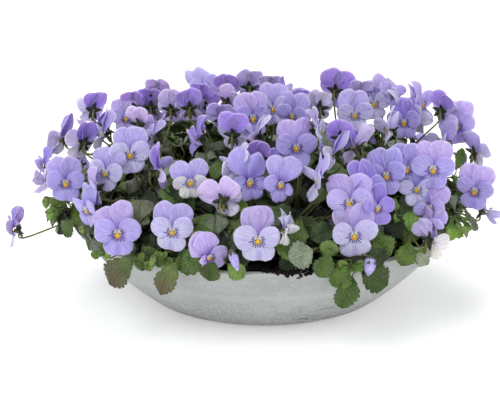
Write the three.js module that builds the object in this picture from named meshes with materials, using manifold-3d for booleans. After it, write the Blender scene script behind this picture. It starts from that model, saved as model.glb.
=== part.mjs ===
// A shallow stoneware-grey bowl planted with seven violas: bowl, potting soil, seven leafy plants
// and the lavender blooms that stand over them. Millimetres, +Z up, the origin at the centre of the
// bowl's flat foot. The front of the planter faces -Y.
import * as THREE from "three";
import { mergeVertices } from "three/addons/utils/BufferGeometryUtils.js";
import Module from "manifold-3d";

const wasm = await Module();
wasm.setup();

// Bowl and soil
const RIM_RADIUS = 170;
const FOOT_RADIUS = 102;
const BOWL_HEIGHT = 70;
const WALL = 7;
const WALL_BULGE = 4.2;
const LIP_ROUNDING = 1;
const BOWL_SIDES = 36;
const SOIL_TOP = 63;
const SOIL_GAP = 0.3;

// The bloom canopy and the lower, smaller dome that the foliage fills, as half axes of ellipsoids
const CANOPY = { centre: [-8, 0, 70], half: [205, 178, 100] };
const FOLIAGE = { centre: [-4, 0, 72], half: [186, 178, 74] };

// Below its middle a dome goes on this far down, so steeply that what hangs there hangs near the rim
const SKIRT = 150;

// Where the picture of the planter was taken from: distance in mm, elevation and roll in degrees,
// the focal length and the middle of the picture in its own pixels, and the point it looks at
const VIEW = { distance: 1150, elevation: 16, roll: -0.4, focal: 1292, middle: [250, 200], target: [-13, 0, 80.25] };

// A bloom of size 1 is 34 mm wide and 39 mm high. The points run from the lower petal's notch up the
// right side to the notch between the upper petals: across, up and forward, in mm.
const PETAL_THICKNESS = 0.8;
const THROAT_DEPTH = 2.6;
const BLOOM_SIDE = [
  [7.4, -15.2, 1.5],
  [9.8, -7.8, -0.2],
  [16.4, -4.4, 2.4],
  [15.6, 6.0, 1.8],
  [10.8, 10.2, -2.4],
  [14.2, 18.6, -3.4],
  [6.0, 23.4, -2.8],
];
const LOWER_NOTCH = [0, -13.8, 1.2];
const UPPER_NOTCH = [0, 20.2, -2.0];

// Blooms as the picture shows them: the eye's pixel, then which way the bloom faces, turned from the
// picture's front towards the right and nodded upwards, in degrees, its lean, and its size
const SEEN_BLOOMS = [
  [65.5, 184, 10, 8, 0, 0.98],
  [42, 166, -76, 0, 0, 0.95],
  [12, 230, -82, -4, 14, 0.92],
  [105, 174, -18, 6, -8, 0.94],
  [86, 211, -46, 0, 10, 0.92],
  [93, 192, -60, -10, 24, 0.86],
  [117.7, 234.6, -6, 8, 3, 1.1],
  [90.5, 110, -152, 6, 12, 0.88],
  [80, 143, -140, 4, 14, 0.94],
  [59, 139, -108, 6, 0, 0.92],
  [101, 134, -84, 2, 0, 0.98],
  [137, 108, 168, 8, -10, 0.88],
  [151.5, 107, 178, 6, 4, 0.96],
  [156.5, 93, 190, 20, 0, 0.84],
  [173, 109, 168, 8, 2, 0.92],
  [190, 108, 184, 4, -4, 0.88],
  [204, 101, 158, 12, 10, 0.92],
  [205, 88, 30, 30, 4, 0.96],
  [227, 90, 178, 10, 0, 0.88],
  [249, 87, 184, 8, 0, 0.88],
  [229, 103, 150, 0, 30, 0.8],
  [234.5, 135, 168, 4, 0, 1.0],
  [223, 118, 176, 24, -10, 0.9],
  [195, 140, -88, 0, 8, 0.96],
  [152, 136, -94, 0, -10, 0.78],
  [161, 172, 84, -8, 16, 1.0],
  [130, 155.5, 5, 8, 0, 1.0],
  [126, 119, 10, 20, 0, 0.86],
  [143, 124, 150, 10, 0, 0.84],
  [190.5, 183, 2, 0, 4, 0.94],
  [172.2, 232, -2, 8, -2, 0.98],
  [225, 200, 160, 2, -16, 1.0],
  [209.5, 258, 36, -16, 10, 0.88],
  [250, 183, 24, 4, -2, 1.06],
  [233, 169, -84, 2, 0, 0.86],
  [257.8, 241, 4, 8, 0, 1.06],
  [280.6, 185.5, 26, 2, -4, 0.94],
  [296.4, 148.5, 2, 8, 0, 1.02],
  [253, 119, 12, 10, 0, 0.98],
  [273, 109.5, -16, 8, 6, 0.94],
  [270, 90, 182, 14, 0, 0.84],
  [290, 93, 96, 14, 0, 0.88],
  [303, 104, 170, 20, 0, 0.84],
  [292, 117, -24, -6, -8, 0.88],
  [319, 108, 182, 6, 0, 0.84],
  [336, 91, 164, 0, 12, 1.02],
  [320, 132, 72, 4, -4, 0.94],
  [354.8, 116, 4, 6, 2, 0.94],
  [341, 137, 172, 12, 0, 0.84],
  [374, 104.5, -14, 8, 4, 0.96],
  [360, 93, 186, 20, 0, 0.8],
  [391, 93, 40, 20, -10, 0.86],
  [406, 106, 92, 8, 0, 0.84],
  [423, 105, 52, 20, 0, 1.04],
  [417, 121, 128, 4, 0, 0.92],
  [404, 123, -22, 4, 6, 0.96],
  [387, 130, -66, 0, 0, 0.88],
  [444, 110, 142, 6, 10, 0.9],
  [457, 127, -24, 8, 4, 1.06],
  [441, 142, -72, 0, 4, 0.98],
  [478, 153, 122, 4, 8, 0.98],
  [474.5, 192, -22, 6, -6, 1.0],
  [488, 213, 84, -14, 0, 0.62],
  [433, 170.5, -20, 8, 4, 1.04],
  [407, 170, 6, 6, 0, 0.92],
  [386.5, 176.5, -24, 6, 8, 1.0],
  [417, 190, -4, 2, -4, 0.86],
  [430, 209, -34, -2, 8, 0.94],
  [431, 226, -48, -6, 0, 0.86],
  [432, 243, 132, -20, 0, 0.92],
  [349.5, 204, 0, 12, 0, 1.06],
  [354.5, 236.5, 2, 8, 2, 1.06],
  [367, 190, 34, 4, 4, 1.0],
  [378, 209, 30, 4, 0, 0.84],
  [352, 148, -118, 10, 34, 1.04],
  [331, 156, -81, 0, 4, 0.9],
  [316, 182, -74, 0, 0, 1.02],
  [286, 231, 58, -14, 0, 0.7],
  [263, 158, 160, 12, 0, 0.84],
  [253, 138, -80, 0, 0, 0.84],
];

// Blooms round the back, in rings over the canopy: the angle down from the top, how many, and size
const BACK_RINGS = [
  { down: 79, count: 11, size: 1.0 },
  { down: 61, count: 8, size: 0.98 },
  { down: 43, count: 4, size: 0.96 },
];
const BACK_START = 14;
const BACK_END = 166;
const CLEAR_OF_SEEN = 26;

// Lone blooms slide along their line, the line of sight in the picture or a ring round the back, no
// further than this, until they touch a neighbour
const BLOOM_NODES = 50;
const LONGEST_SLIDE = 48;
const FIRM_TOUCH = 3;
const SLIDE_SHARES = Array.from({ length: 20 }, (_, i) => 0.2 + 0.05 * i);

// Plants: one in the middle and six round it. Each has a bushy core below its leaves, and its root
// stands in a plain hole in the soil.
const PLANT_RING = 98;
const PLANTS = 7;
const CORE_RADIUS = 46;
const CORE_BELOW_LEAVES = 22;
const CORE_SIDES = 10;
const CORE_FOLDS = 0.24;
const CORE_PROFILE = [
  [0.6, 0],
  [1, 0.4],
  [0.8, 0.74],
  [0.36, 0.94],
  [0, 1],
];
const ROOT_RADIUS = 8;
const ROOT_DEPTH = 14;

// Leaves that show in the picture: the pixels of the blade's root and tip, its width in mm, and how
// far inside the foliage dome it lies
const SEEN_LEAVES = [
  [131, 262, 108, 284, 20, 0],
  [176, 262, 159, 295, 16, 0],
  [142, 252, 142, 271, 12, 4],
  [214, 262, 208, 281, 15, 0],
  [228, 266, 246, 277, 13, 0],
  [330, 252, 318, 278, 17, 3],
  [343, 262, 336, 287, 18, 3],
  [352, 272, 340, 307, 20, 0],
  [360, 270, 387, 286, 20, 0],
  [408, 242, 403, 266, 17, 0],
  [414, 250, 430, 266, 15, 0],
  [313, 250, 289, 260, 20, 8],
  [304, 250, 281, 268, 15, 16],
  [336, 228, 311, 238, 16, 10],
  [325, 258, 332, 241, 14, 12],
  [373, 240, 391, 255, 20, 8],
  [141, 220, 142, 199, 20, 6],
  [130, 216, 149, 221, 9, 4],
  [197, 168, 206, 155, 15, 14],
  [203, 202, 217, 199, 14, 10],
  [218, 234, 216, 215, 17, 10],
  [52, 206, 66, 208, 12, 0],
  [60, 209, 49, 223, 14, 0],
  [75, 221, 62, 234, 15, 0],
  [411, 232, 411, 211, 14, 10],
  [403, 240, 386, 212, 15, 12],
  [462, 203, 461, 186, 15, 6],
  [452, 222, 450, 241, 9, 0],
  [459, 222, 459, 239, 8, 0],
  [464, 220, 469, 238, 9, 0],
  [466, 214, 479, 231, 7, 0],
  [456, 170, 463, 148, 14, 8],
];

// Leaves by rule, over each plant: golden-angle turns, from the outermost low ones to the top
const LEAVES_PER_PLANT = [8, 14, 14, 14, 11, 8, 8];
const EXTRA_LEAF_FACETS = 70;
const GOLDEN_ANGLE = 137.508;
const LEAF_LENGTH = 38;
const LEAF_WIDTH = 19;
const LEAF_THICKNESS = 0.8;
const PETIOLE_HALF = 1.0;
// Half outline of a blade: share of its length and of its half width, with the rounded teeth
const LEAF_SIDE = [
  [0.14, 0.6],
  [0.42, 1.0],
  [0.6, 0.8],
  [0.84, 0.62],
];

// Flower stalks: their radius from the core to the calyx behind the bloom, and the clearance that
// everything green keeps from its neighbours
const STALK_RADII = [1.2, 1.4, 2.6];
const HOOKS = [6, 8, 11];
const BENDS = [-22, -10, 10, 22];
const WHOLE = 0.9;
const ROOT_SHARES = [0.25, 0.4, 0.55, 0.7, 0.85];
const STALK_SIDES = 3;
const CLEARANCE = 0.35;

// Buds in the picture: the pixels of the bud's foot and tip, and its radius in mm
const SEEN_BUDS = [
  [371, 256, 367, 275, 3.4],
  [240, 258, 233, 269, 3.2],
  [155, 255, 151, 266, 2.6],
  [46, 197, 46, 209, 3.6],
  [80, 226, 85, 234, 2.8],
  [333, 176, 335, 188, 2.6],
  [196, 231, 193, 245, 3.0],
];

const degrees = (angle) => (angle * Math.PI) / 180;
const vector = (x, y, z) => new THREE.Vector3(x, y, z);

// The same draws in the same order every time
function seeded(seed) {
  let state = seed >>> 0;
  return () => {
    state = (Math.imul(state, 1664525) + 1013904223) >>> 0;
    return state / 4294967296;
  };
}

// A geometry with merged corners as a solid
function solidOf(geometry) {
  const bare = new THREE.BufferGeometry();
  bare.setAttribute("position", geometry.getAttribute("position"));
  bare.setIndex(geometry.index);
  const merged = mergeVertices(bare, 1e-4);
  return new wasm.Manifold(
    new wasm.Mesh({
      numProp: 3,
      vertProperties: new Float32Array(merged.attributes.position.array),
      triVerts: new Uint32Array(merged.index.array),
    }),
  );
}

function geometryOf(solid) {
  const mesh = solid.getMesh();
  const corners = new Float32Array(mesh.numVert * 3);
  for (let i = 0; i < mesh.numVert; i++) {
    corners.set(mesh.vertProperties.subarray(i * mesh.numProp, i * mesh.numProp + 3), i * 3);
  }
  const geometry = new THREE.BufferGeometry();
  geometry.setAttribute("position", new THREE.BufferAttribute(corners, 3));
  geometry.setIndex(new THREE.BufferAttribute(new Uint32Array(mesh.triVerts), 1));
  geometry.computeVertexNormals();
  return geometry;
}

const largest = (solids) => solids.reduce((best, solid) => (solid.volume() > best.volume() ? solid : best));

// The solid with its corners merged once more, less any scrap that this leaves loose
const withoutScraps = (solid) => largest(solidOf(geometryOf(solid)).decompose());

// The sight line through a pixel of the picture
function sightLine(across, down) {
  const lift = degrees(VIEW.elevation);
  const back = vector(0, -Math.cos(lift), Math.sin(lift));
  const up = vector(0, Math.sin(lift), Math.cos(lift));
  const from = vector(...VIEW.target).addScaledVector(back, VIEW.distance);
  const roll = degrees(-VIEW.roll);
  const dx = across - VIEW.middle[0];
  const dy = down - VIEW.middle[1];
  const right = dx * Math.cos(roll) - dy * Math.sin(roll);
  const below = dx * Math.sin(roll) + dy * Math.cos(roll);
  const along = back.clone().multiplyScalar(-VIEW.focal).addScaledVector(up, -below);
  along.x += right;
  return { from, along: along.normalize() };
}

// Where a pixel's sight line first meets a dome taken in by inset, or else passes nearest to it
function onDome(dome, across, down, inset = 0) {
  const { from, along } = sightLine(across, down);
  const meet = (halfHeight) => {
    const half = vector(dome.half[0] - inset, dome.half[1] - inset, halfHeight);
    const p = from.clone().sub(vector(...dome.centre)).divide(half);
    const d = along.clone().divide(half);
    const a = d.dot(d);
    const b = p.dot(d);
    const root = b * b - a * (p.dot(p) - 1);
    const distance = (-b - (root > 0 ? Math.sqrt(root) : 0)) / a;
    return from.clone().addScaledVector(along, distance);
  };
  const above = meet(dome.half[2] - inset);
  return above.z > dome.centre[2] ? above : meet(SKIRT);
}

// Which way a bloom faces, with the right and up of someone who looks at its face
function facing({ turn, nod, lean }) {
  const yaw = degrees(turn);
  const pitch = degrees(nod);
  const face = vector(Math.sin(yaw) * Math.cos(pitch), -Math.cos(yaw) * Math.cos(pitch), Math.sin(pitch));
  const right = vector(Math.cos(yaw), Math.sin(yaw), 0).applyAxisAngle(face, degrees(lean));
  const up = face.clone().cross(right);
  return { face, right, up };
}

function seenBlooms() {
  return SEEN_BLOOMS.map(([across, down, turn, nod, lean, size]) => ({
    eye: onDome(CANOPY, across, down),
    slide: sightLine(across, down).along,
    turn,
    nod,
    lean,
    size,
  }));
}

function backBlooms(seen) {
  const draw = seeded(11);
  const made = [];
  for (const ring of BACK_RINGS) {
    for (let i = 0; i < ring.count; i++) {
      const jitter = [draw(), draw(), draw(), draw(), draw()].map((x) => 2 * x - 1);
      const step = (BACK_END - BACK_START) / (ring.count - 1);
      const round = degrees(BACK_START + i * step + jitter[0] * step * 0.22);
      const down = degrees(ring.down + jitter[1] * 5);
      const eye = vector(
        CANOPY.centre[0] + CANOPY.half[0] * Math.sin(down) * Math.cos(round),
        CANOPY.centre[1] + CANOPY.half[1] * Math.sin(down) * Math.sin(round),
        CANOPY.centre[2] + CANOPY.half[2] * Math.cos(down),
      );
      if (seen.some((bloom) => bloom.eye.distanceTo(eye) < CLEAR_OF_SEEN)) continue;
      made.push({
        eye,
        slide: vector(-Math.sin(round), Math.cos(round), 0),
        turn: 90 + THREE.MathUtils.radToDeg(round) + jitter[2] * 34,
        nod: 12 + jitter[3] * 14,
        lean: jitter[4] * 12,
        size: ring.size + jitter[3] * 0.08,
      });
    }
  }
  return made;
}

// A thin blade: a fan of facets from its middle to its outline, alike on both faces
function bladeGeometry(outline, middle, normal, thickness, depth = thickness) {
  const half = normal.clone().multiplyScalar(thickness / 2);
  const count = outline.length;
  const corners = [
    middle.clone().add(half),
    ...outline.map((p) => p.clone().add(half)),
    middle.clone().add(half).addScaledVector(normal, -depth),
    ...outline.map((p) => p.clone().sub(half)),
  ];
  const faces = [];
  const under = count + 1;
  for (let i = 0; i < count; i++) {
    const a = 1 + i;
    const b = 1 + ((i + 1) % count);
    faces.push(0, a, b, under, under + b, under + a);
    faces.push(under + a, under + b, b, under + a, b, a);
  }
  return new THREE.BufferGeometry().setFromPoints(corners).setIndex(faces);
}

// A bloom, or with growth the room that is kept round it
function bloomSolid(bloom, growth = 0) {
  const left = BLOOM_SIDE.map(([x, y, z]) => [-x, y, z]).reverse();
  const outline = [LOWER_NOTCH, ...BLOOM_SIDE, UPPER_NOTCH, ...left].map((p) => vector(...p));
  const geometry = bladeGeometry(
    outline,
    vector(0, 0, -PETAL_THICKNESS / 2),
    vector(0, 0, 1),
    PETAL_THICKNESS + 2 * growth,
    THROAT_DEPTH + 2 * growth,
  );
  const { face, right, up } = facing(bloom);
  const place = new THREE.Matrix4().makeBasis(right, up, face);
  const spread = bloom.size * (1 + growth / 12);
  place.scale(vector(spread, spread, 1));
  place.setPosition(bloom.eye);
  return solidOf(geometry.applyMatrix4(place));
}

// A faceted rod through points, with a radius at each
function rodGeometry(points, radii, sides) {
  const corners = [];
  const faces = [];
  const along = points.map((p, i) => {
    const next = points[Math.min(i + 1, points.length - 1)];
    const before = points[Math.max(i - 1, 0)];
    return next.clone().sub(before).normalize();
  });
  let across = vector(0.31, 0.93, 0.17);
  points.forEach((point, i) => {
    across = across.clone().addScaledVector(along[i], -across.dot(along[i])).normalize();
    for (let k = 0; k < sides; k++) {
      const arm = across.clone().applyAxisAngle(along[i], (2 * Math.PI * k) / sides);
      corners.push(point.clone().addScaledVector(arm, radii[i]));
    }
  });
  for (let i = 0; i + 1 < points.length; i++) {
    for (let k = 0; k < sides; k++) {
      const a = i * sides + k;
      const b = i * sides + ((k + 1) % sides);
      faces.push(a, b, b + sides, a, b + sides, a + sides);
    }
  }
  const last = (points.length - 1) * sides;
  for (let k = 1; k + 1 < sides; k++) {
    faces.push(0, k + 1, k, last, last + k, last + k + 1);
  }
  return new THREE.BufferGeometry().setFromPoints(corners).setIndex(faces);
}

// A leaf with its flat stalk from a root inside the plant, or with no root the blade alone, whose
// own foot is in the plant. With growth, it is the room that is kept round the leaf.
function leafSolid({ root, base, tip, outward, width }, growth = 0) {
  const along = tip.clone().sub(base);
  const length = along.length();
  along.normalize();
  const side = along.clone().cross(outward).normalize();
  const normal = side.clone().cross(along).normalize();
  const half = LEAF_THICKNESS / 2 + growth;
  const at = (share, across) =>
    base
      .clone()
      .addScaledVector(along, share * length)
      .addScaledVector(side, across + Math.sign(across) * growth)
      .addScaledVector(normal, -0.16 * length * share * share + Math.abs(across) * 0.22);
  const right = LEAF_SIDE.map(([share, wide]) => at(share, (wide * width) / 2));
  const left = LEAF_SIDE.map(([share, wide]) => at(share, (-wide * width) / 2)).reverse();
  const blade = [at(0, PETIOLE_HALF), ...right, at(1 + growth / length, 0), ...left, at(0, -PETIOLE_HALF)];
  if (!root) return solidOf(bladeGeometry(blade, at(0.5, 0), normal, 2 * half));

  const reach = PETIOLE_HALF + growth;
  const stalkNormal = side.clone().cross(base.clone().sub(root)).normalize();
  const stalkEnds = [-reach, reach].map((across) => root.clone().addScaledVector(side, across));
  const outline = [...blade, ...stalkEnds];
  const fold = normal.clone().add(stalkNormal).normalize();
  fold.divideScalar(Math.max(0.6, fold.dot(normal)));
  const atBase = (i) => i === 0 || i === blade.length - 1;
  const lift = outline.map((_, i) => {
    if (atBase(i)) return fold.clone().multiplyScalar(half);
    return (i < blade.length ? normal : stalkNormal).clone().multiplyScalar(half);
  });
  const corners = [
    at(0.5, 0).addScaledVector(normal, half),
    ...outline.map((p, i) => p.clone().add(lift[i])),
    at(0.5, 0).addScaledVector(normal, -half),
    ...outline.map((p, i) => p.clone().sub(lift[i])),
  ];
  const under = outline.length + 1;
  const last = blade.length;
  const faces = [];
  for (let a = 1; a <= last; a++) {
    const b = (a % last) + 1;
    faces.push(0, a, b, under, under + b, under + a);
  }
  faces.push(last, last + 1, last + 2, last, last + 2, 1);
  faces.push(under + last, under + last + 2, under + last + 1, under + last, under + 1, under + last + 2);
  for (let a = 1; a <= outline.length; a++) {
    const b = (a % outline.length) + 1;
    faces.push(under + a, under + b, b, under + a, b, a);
  }
  return solidOf(new THREE.BufferGeometry().setFromPoints(corners).setIndex(faces));
}

// Slides lone blooms to their nearest neighbours until no more than BLOOM_NODES bunches are left
function gatherBlooms(blooms) {
  const solids = blooms.map((bloom) => bloomSolid(bloom));
  const bunch = blooms.map((_, i) => i);
  const stuck = new Set();
  const join = (i, j) => {
    const from = bunch[i];
    bunch.forEach((b, k) => {
      if (b === from) bunch[k] = bunch[j];
    });
  };
  const touching = (i) =>
    blooms.flatMap((other, j) => {
      if (j === i || blooms[i].eye.distanceTo(other.eye) > 50) return [];
      const shared = solids[i].intersect(solids[j]).volume();
      return shared > 0 ? [{ j, shared }] : [];
    });
  const lone = (i) => bunch.filter((b) => b === bunch[i]).length === 1;
  const slideTo = (i, j) => {
    const gap = blooms[j].eye.clone().sub(blooms[i].eye);
    const move = blooms[i].slide.clone().multiplyScalar(gap.dot(blooms[i].slide));
    const cost = gap.clone().sub(move).length() + move.length() * 0.4;
    return { i, j, move, cost: move.length() > LONGEST_SLIDE ? Infinity : cost };
  };
  const nearestSlide = () => {
    let best = { cost: Infinity };
    blooms.forEach((_, i) => {
      if (!lone(i)) return;
      blooms.forEach((_, j) => {
        if (j === i || stuck.has(`${i} ${j}`)) return;
        const slide = slideTo(i, j);
        if (slide.cost < best.cost) best = slide;
      });
    });
    return best;
  };
  const place = (i, eye) => {
    blooms[i].eye = eye;
    solids[i] = bloomSolid(blooms[i]);
  };

  blooms.forEach((_, i) => touching(i).forEach(({ j }) => join(i, j)));
  while (new Set(bunch).size > BLOOM_NODES) {
    const { i, j, move, cost } = nearestSlide();
    if (cost === Infinity) break;
    const home = blooms[i].eye.clone();
    let best = { facets: Infinity };
    for (const share of SLIDE_SHARES) {
      const eye = home.clone().addScaledVector(move, share);
      place(i, eye);
      const touched = touching(i);
      if (!touched.some(({ shared }) => shared > FIRM_TOUCH)) continue;
      const facets = touched.reduce((sum, other) => sum + solids[i].add(solids[other.j]).numTri(), 0);
      if (facets < best.facets) best = { facets, eye, touched };
    }
    place(i, best.eye ?? home);
    if (best.eye) best.touched.forEach((other) => join(i, other.j));
    else stuck.add(`${i} ${j}`);
  }
  return [...new Set(bunch)].map((b) => blooms.filter((_, i) => bunch[i] === b));
}

// The height of the leaves' dome over a place
function foliageHeight(x, y) {
  const [cx, cy, cz] = FOLIAGE.centre;
  const [hx, hy, hz] = FOLIAGE.half;
  return cz + hz * Math.sqrt(Math.max(0, 1 - ((x - cx) / hx) ** 2 - ((y - cy) / hy) ** 2));
}

// Straight out of the leaves' dome at a point
function outOfDome(point) {
  const half = vector(...FOLIAGE.half);
  return point.clone().sub(vector(...FOLIAGE.centre)).divide(half).divide(half).normalize();
}

// Draws every other corner of a core inwards, by turns from ring to ring, so that it is folded like
// whorls of leaves
function foldCore(core, rise) {
  const place = core.getAttribute("position");
  for (let i = 0; i < place.count; i++) {
    const [x, y, z] = [place.getX(i), place.getY(i), place.getZ(i)];
    if (z < 1 || Math.hypot(x, y) < 1) continue;
    const side = Math.round((Math.atan2(x, -y) * CORE_SIDES) / (2 * Math.PI)) + CORE_SIDES;
    const ring = CORE_PROFILE.findIndex(([, height]) => Math.abs(height * rise - z) < 0.01);
    if ((side + ring) % 2 === 0) continue;
    place.setXY(i, x * (1 - CORE_FOLDS), y * (1 - CORE_FOLDS));
    place.setZ(i, z + 3);
  }
}

const rootProfile = (gap) => [
  new THREE.Vector2(0, -ROOT_DEPTH - gap),
  new THREE.Vector2(ROOT_RADIUS + gap, -ROOT_DEPTH - gap),
  new THREE.Vector2(ROOT_RADIUS + gap, 0),
];

function makePlants() {
  const plants = [];
  for (let i = 0; i < PLANTS; i++) {
    const round = degrees(60 * i - 30);
    const out = i === 0 ? 0 : PLANT_RING;
    const crown = vector(out * Math.cos(round), out * Math.sin(round), SOIL_TOP + SOIL_GAP);
    const rise = foliageHeight(crown.x, crown.y) - CORE_BELOW_LEAVES - crown.z;
    const bush = CORE_PROFILE.map(([r, h]) => new THREE.Vector2(r * CORE_RADIUS, h * rise));
    const core = new THREE.LatheGeometry([...rootProfile(0), ...bush], CORE_SIDES).rotateX(Math.PI / 2);
    foldCore(core, rise);
    core.translate(crown.x, crown.y, crown.z);
    const hole = new THREE.LatheGeometry([...rootProfile(SOIL_GAP), new THREE.Vector2(0, 0)], CORE_SIDES);
    hole.rotateX(Math.PI / 2).translate(crown.x, crown.y, crown.z);
    plants.push({ crown, rise, body: solidOf(core), room: solidOf(core), hole: solidOf(hole) });
  }
  return plants;
}

function nearestPlants(plants, point) {
  const off = ({ crown }) => Math.hypot(crown.x - point.x, crown.y - point.y);
  return [...plants].sort((a, b) => off(a) - off(b));
}

// A point inside a plant's core, on the side that faces a place, at a share of the core's height
function insideCore(plant, towards, share) {
  const flat = vector(towards.x - plant.crown.x, towards.y - plant.crown.y, 0);
  const reach = Math.min(CORE_RADIUS * (0.7 - 0.35 * share), flat.length());
  return flat.setLength(reach).add(plant.crown).add(vector(0, 0, share * plant.rise));
}

// Grows a piece out of a plant, in whichever of the given ways takes the fewest facets. It is cut
// clear of the other plants and of what is blocked, and what the cut takes off its root is dropped.
// More ways are tried where none of the first leaves it whole. Returns the share of it that is left.
function grow(plants, blocked, ways, moreWays = () => []) {
  let best = { cost: Infinity, share: 0 };
  const weigh = ({ plant, piece, room, cuts, most }) => {
    const others = plants.filter((other) => other !== plant).map((other) => other.room);
    const obstacles = [...blocked, ...others].filter((solid) => !piece.intersect(solid).isEmpty());
    if (obstacles.length > 0 && !cuts) return;
    const whole = obstacles.reduce((left, solid) => left.subtract(solid), piece);
    const rooted = whole.decompose().filter((part) => part.intersect(plant.body).volume() > 0.2);
    if (rooted.length === 0) return;
    const kept = largest(rooted);
    const share = kept.volume() / piece.volume();
    const body = largest(plant.body.add(kept).decompose());
    const facets = body.numTri() - plant.body.numTri();
    const cost = facets + (share < WHOLE ? 500 : 0);
    if (cost < best.cost && facets <= most) best = { cost, plant, body, room, share };
  };
  ways.forEach(weigh);
  if (best.share < WHOLE) moreWays().forEach(weigh);
  if (!best.body) return 0;
  best.plant.body = best.body;
  best.plant.room = best.plant.room.add(best.room);
  return best.share;
}

function leafWays(plant, leaf) {
  return ROOT_SHARES.map((share) => {
    const rooted = { ...leaf, root: insideCore(plant, leaf.base, share) };
    return { plant, piece: leafSolid(rooted), room: leafSolid(rooted, CLEARANCE), cuts: true, most: Infinity };
  });
}

function seenLeaf(plants, [acrossBase, downBase, acrossTip, downTip, width, inset]) {
  const base = onDome(FOLIAGE, acrossBase, downBase, inset);
  const tip = onDome(FOLIAGE, acrossTip, downTip, inset);
  return { plant: nearestPlants(plants, base)[0], leaf: { base, tip, outward: outOfDome(base), width } };
}

// The leaves that stand out of the cores by rule
function ruleLeaves(plants) {
  const draw = seeded(29);
  return plants.flatMap((plant, p) =>
    Array.from({ length: LEAVES_PER_PLANT[p] }, (_, i) => {
      const jitter = [draw(), draw(), draw()].map((x) => 2 * x - 1);
      const up = i / (LEAVES_PER_PLANT[p] - 1);
      const round = degrees(i * GOLDEN_ANGLE + jitter[0] * 14);
      const lift = degrees(8 + 60 * up + jitter[1] * 6);
      const out = vector(Math.cos(round) * Math.cos(lift), Math.sin(round) * Math.cos(lift), Math.sin(lift));
      const ring = CORE_RADIUS * (0.82 - 0.55 * up * up);
      const base = vector(Math.cos(round) * ring, Math.sin(round) * ring, (0.38 + 0.46 * up) * plant.rise);
      base.add(plant.crown);
      const tip = base.clone().addScaledVector(out, LEAF_LENGTH * (1 + 0.12 * jitter[2]));
      const outward = vector(-out.x * out.z, -out.y * out.z, 1 - out.z * out.z).normalize();
      return { plant, leaf: { base, tip, outward, width: LEAF_WIDTH * (1 - 0.1 * jitter[2]) } };
    }),
  );
}

// The flower stalk rises out of the core, turns over behind the bloom and ends in its calyx. It goes
// straight, or bends to a side.
function stalkPoints(plant, bloom, share, hook, bend) {
  const { face } = facing(bloom);
  const back = THROAT_DEPTH + CLEARANCE + 0.3;
  const behind = (distance) => bloom.eye.clone().addScaledVector(face, -distance);
  const root = insideCore(plant, bloom.eye, share);
  const turn = behind(back + hook);
  if (!bend) return [root, turn, behind(back)];
  const sideways = turn.clone().sub(root).cross(vector(0, 0, 1)).setLength(bend);
  return [root, root.clone().lerp(turn, 0.7).add(sideways), turn, behind(back)];
}

function rodWay(plant, points, radii, sides) {
  const wide = radii.map((radius) => radius + 2 * CLEARANCE);
  const piece = solidOf(rodGeometry(points, radii, sides));
  return { plant, piece, room: solidOf(rodGeometry(points, wide, sides)), cuts: true, most: Infinity };
}

function growStalk(plants, blocked, bloom) {
  const foot = bloom.eye.clone().multiplyScalar(0.8);
  const near = nearestPlants(plants, foot);
  const ways = ROOT_SHARES.flatMap((share) =>
    HOOKS.map((hook) => rodWay(near[0], stalkPoints(near[0], bloom, share, hook, 0), STALK_RADII, STALK_SIDES)),
  );
  const [root, ...rest] = STALK_RADII;
  const bent = () =>
    near.slice(0, 3).flatMap((plant) =>
      ROOT_SHARES.flatMap((share) =>
        BENDS.map((bend) => {
          const points = stalkPoints(plant, bloom, share, HOOKS[0], bend);
          return rodWay(plant, points, [root, root, ...rest], STALK_SIDES);
        }),
      ),
    );
  return grow(plants, blocked, ways, bent);
}

function growBud(plants, blocked, [acrossFoot, downFoot, acrossTip, downTip, radius]) {
  const foot = onDome(FOLIAGE, acrossFoot, downFoot, -4);
  const tip = onDome(FOLIAGE, acrossTip, downTip, -4);
  const [plant] = nearestPlants(plants, foot);
  const along = (share) => foot.clone().lerp(tip, share);
  const ways = ROOT_SHARES.map((share) => {
    const points = [insideCore(plant, foot, share), foot, along(0.3), along(0.7), tip];
    return rodWay(plant, points, [1.1, 1.1, radius, radius * 0.9, 0.8], 4);
  });
  return grow(plants, blocked, ways);
}

function growPlants(blooms, bowlRoom) {
  const plants = makePlants();
  const blocked = [bowlRoom, wasm.Manifold.union(blooms.map((bloom) => bloomSolid(bloom, CLEARANCE)))];
  for (const row of SEEN_LEAVES) {
    const { plant, leaf } = seenLeaf(plants, row);
    if (grow(plants, blocked, leafWays(plant, leaf)) === 0) throw new Error(`no room for leaf ${row}`);
  }
  for (const bloom of blooms) growStalk(plants, blocked, bloom);
  for (const row of SEEN_BUDS) {
    if (growBud(plants, blocked, row) === 0) throw new Error(`no room for bud ${row}`);
  }
  for (const { plant, leaf } of ruleLeaves(plants)) {
    const most = EXTRA_LEAF_FACETS;
    grow(plants, blocked, [{ plant, piece: leafSolid(leaf), room: leafSolid(leaf, CLEARANCE), cuts: false, most }]);
  }
  return plants;
}

// The bowl's wall is an arc that bulges a little outwards and down, from its foot to its rim.
// This is the point at a share of the way up it, moved inwards by depth.
function wallPoint(share, depth) {
  const chord = new THREE.Vector2(RIM_RADIUS - FOOT_RADIUS, BOWL_HEIGHT);
  const span = chord.length();
  const radius = ((span * span) / 4 + WALL_BULGE * WALL_BULGE) / (2 * WALL_BULGE);
  const outwards = new THREE.Vector2(chord.y, -chord.x).divideScalar(span);
  const centre = new THREE.Vector2(FOOT_RADIUS, 0).addScaledVector(chord, 0.5);
  centre.addScaledVector(outwards, WALL_BULGE - radius);
  const lean = Math.atan2(outwards.y, outwards.x);
  const angle = lean + Math.asin(span / 2 / radius) * (2 * share - 1);
  const reach = radius - depth;
  return new THREE.Vector2(centre.x + reach * Math.cos(angle), centre.y + reach * Math.sin(angle));
}

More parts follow.
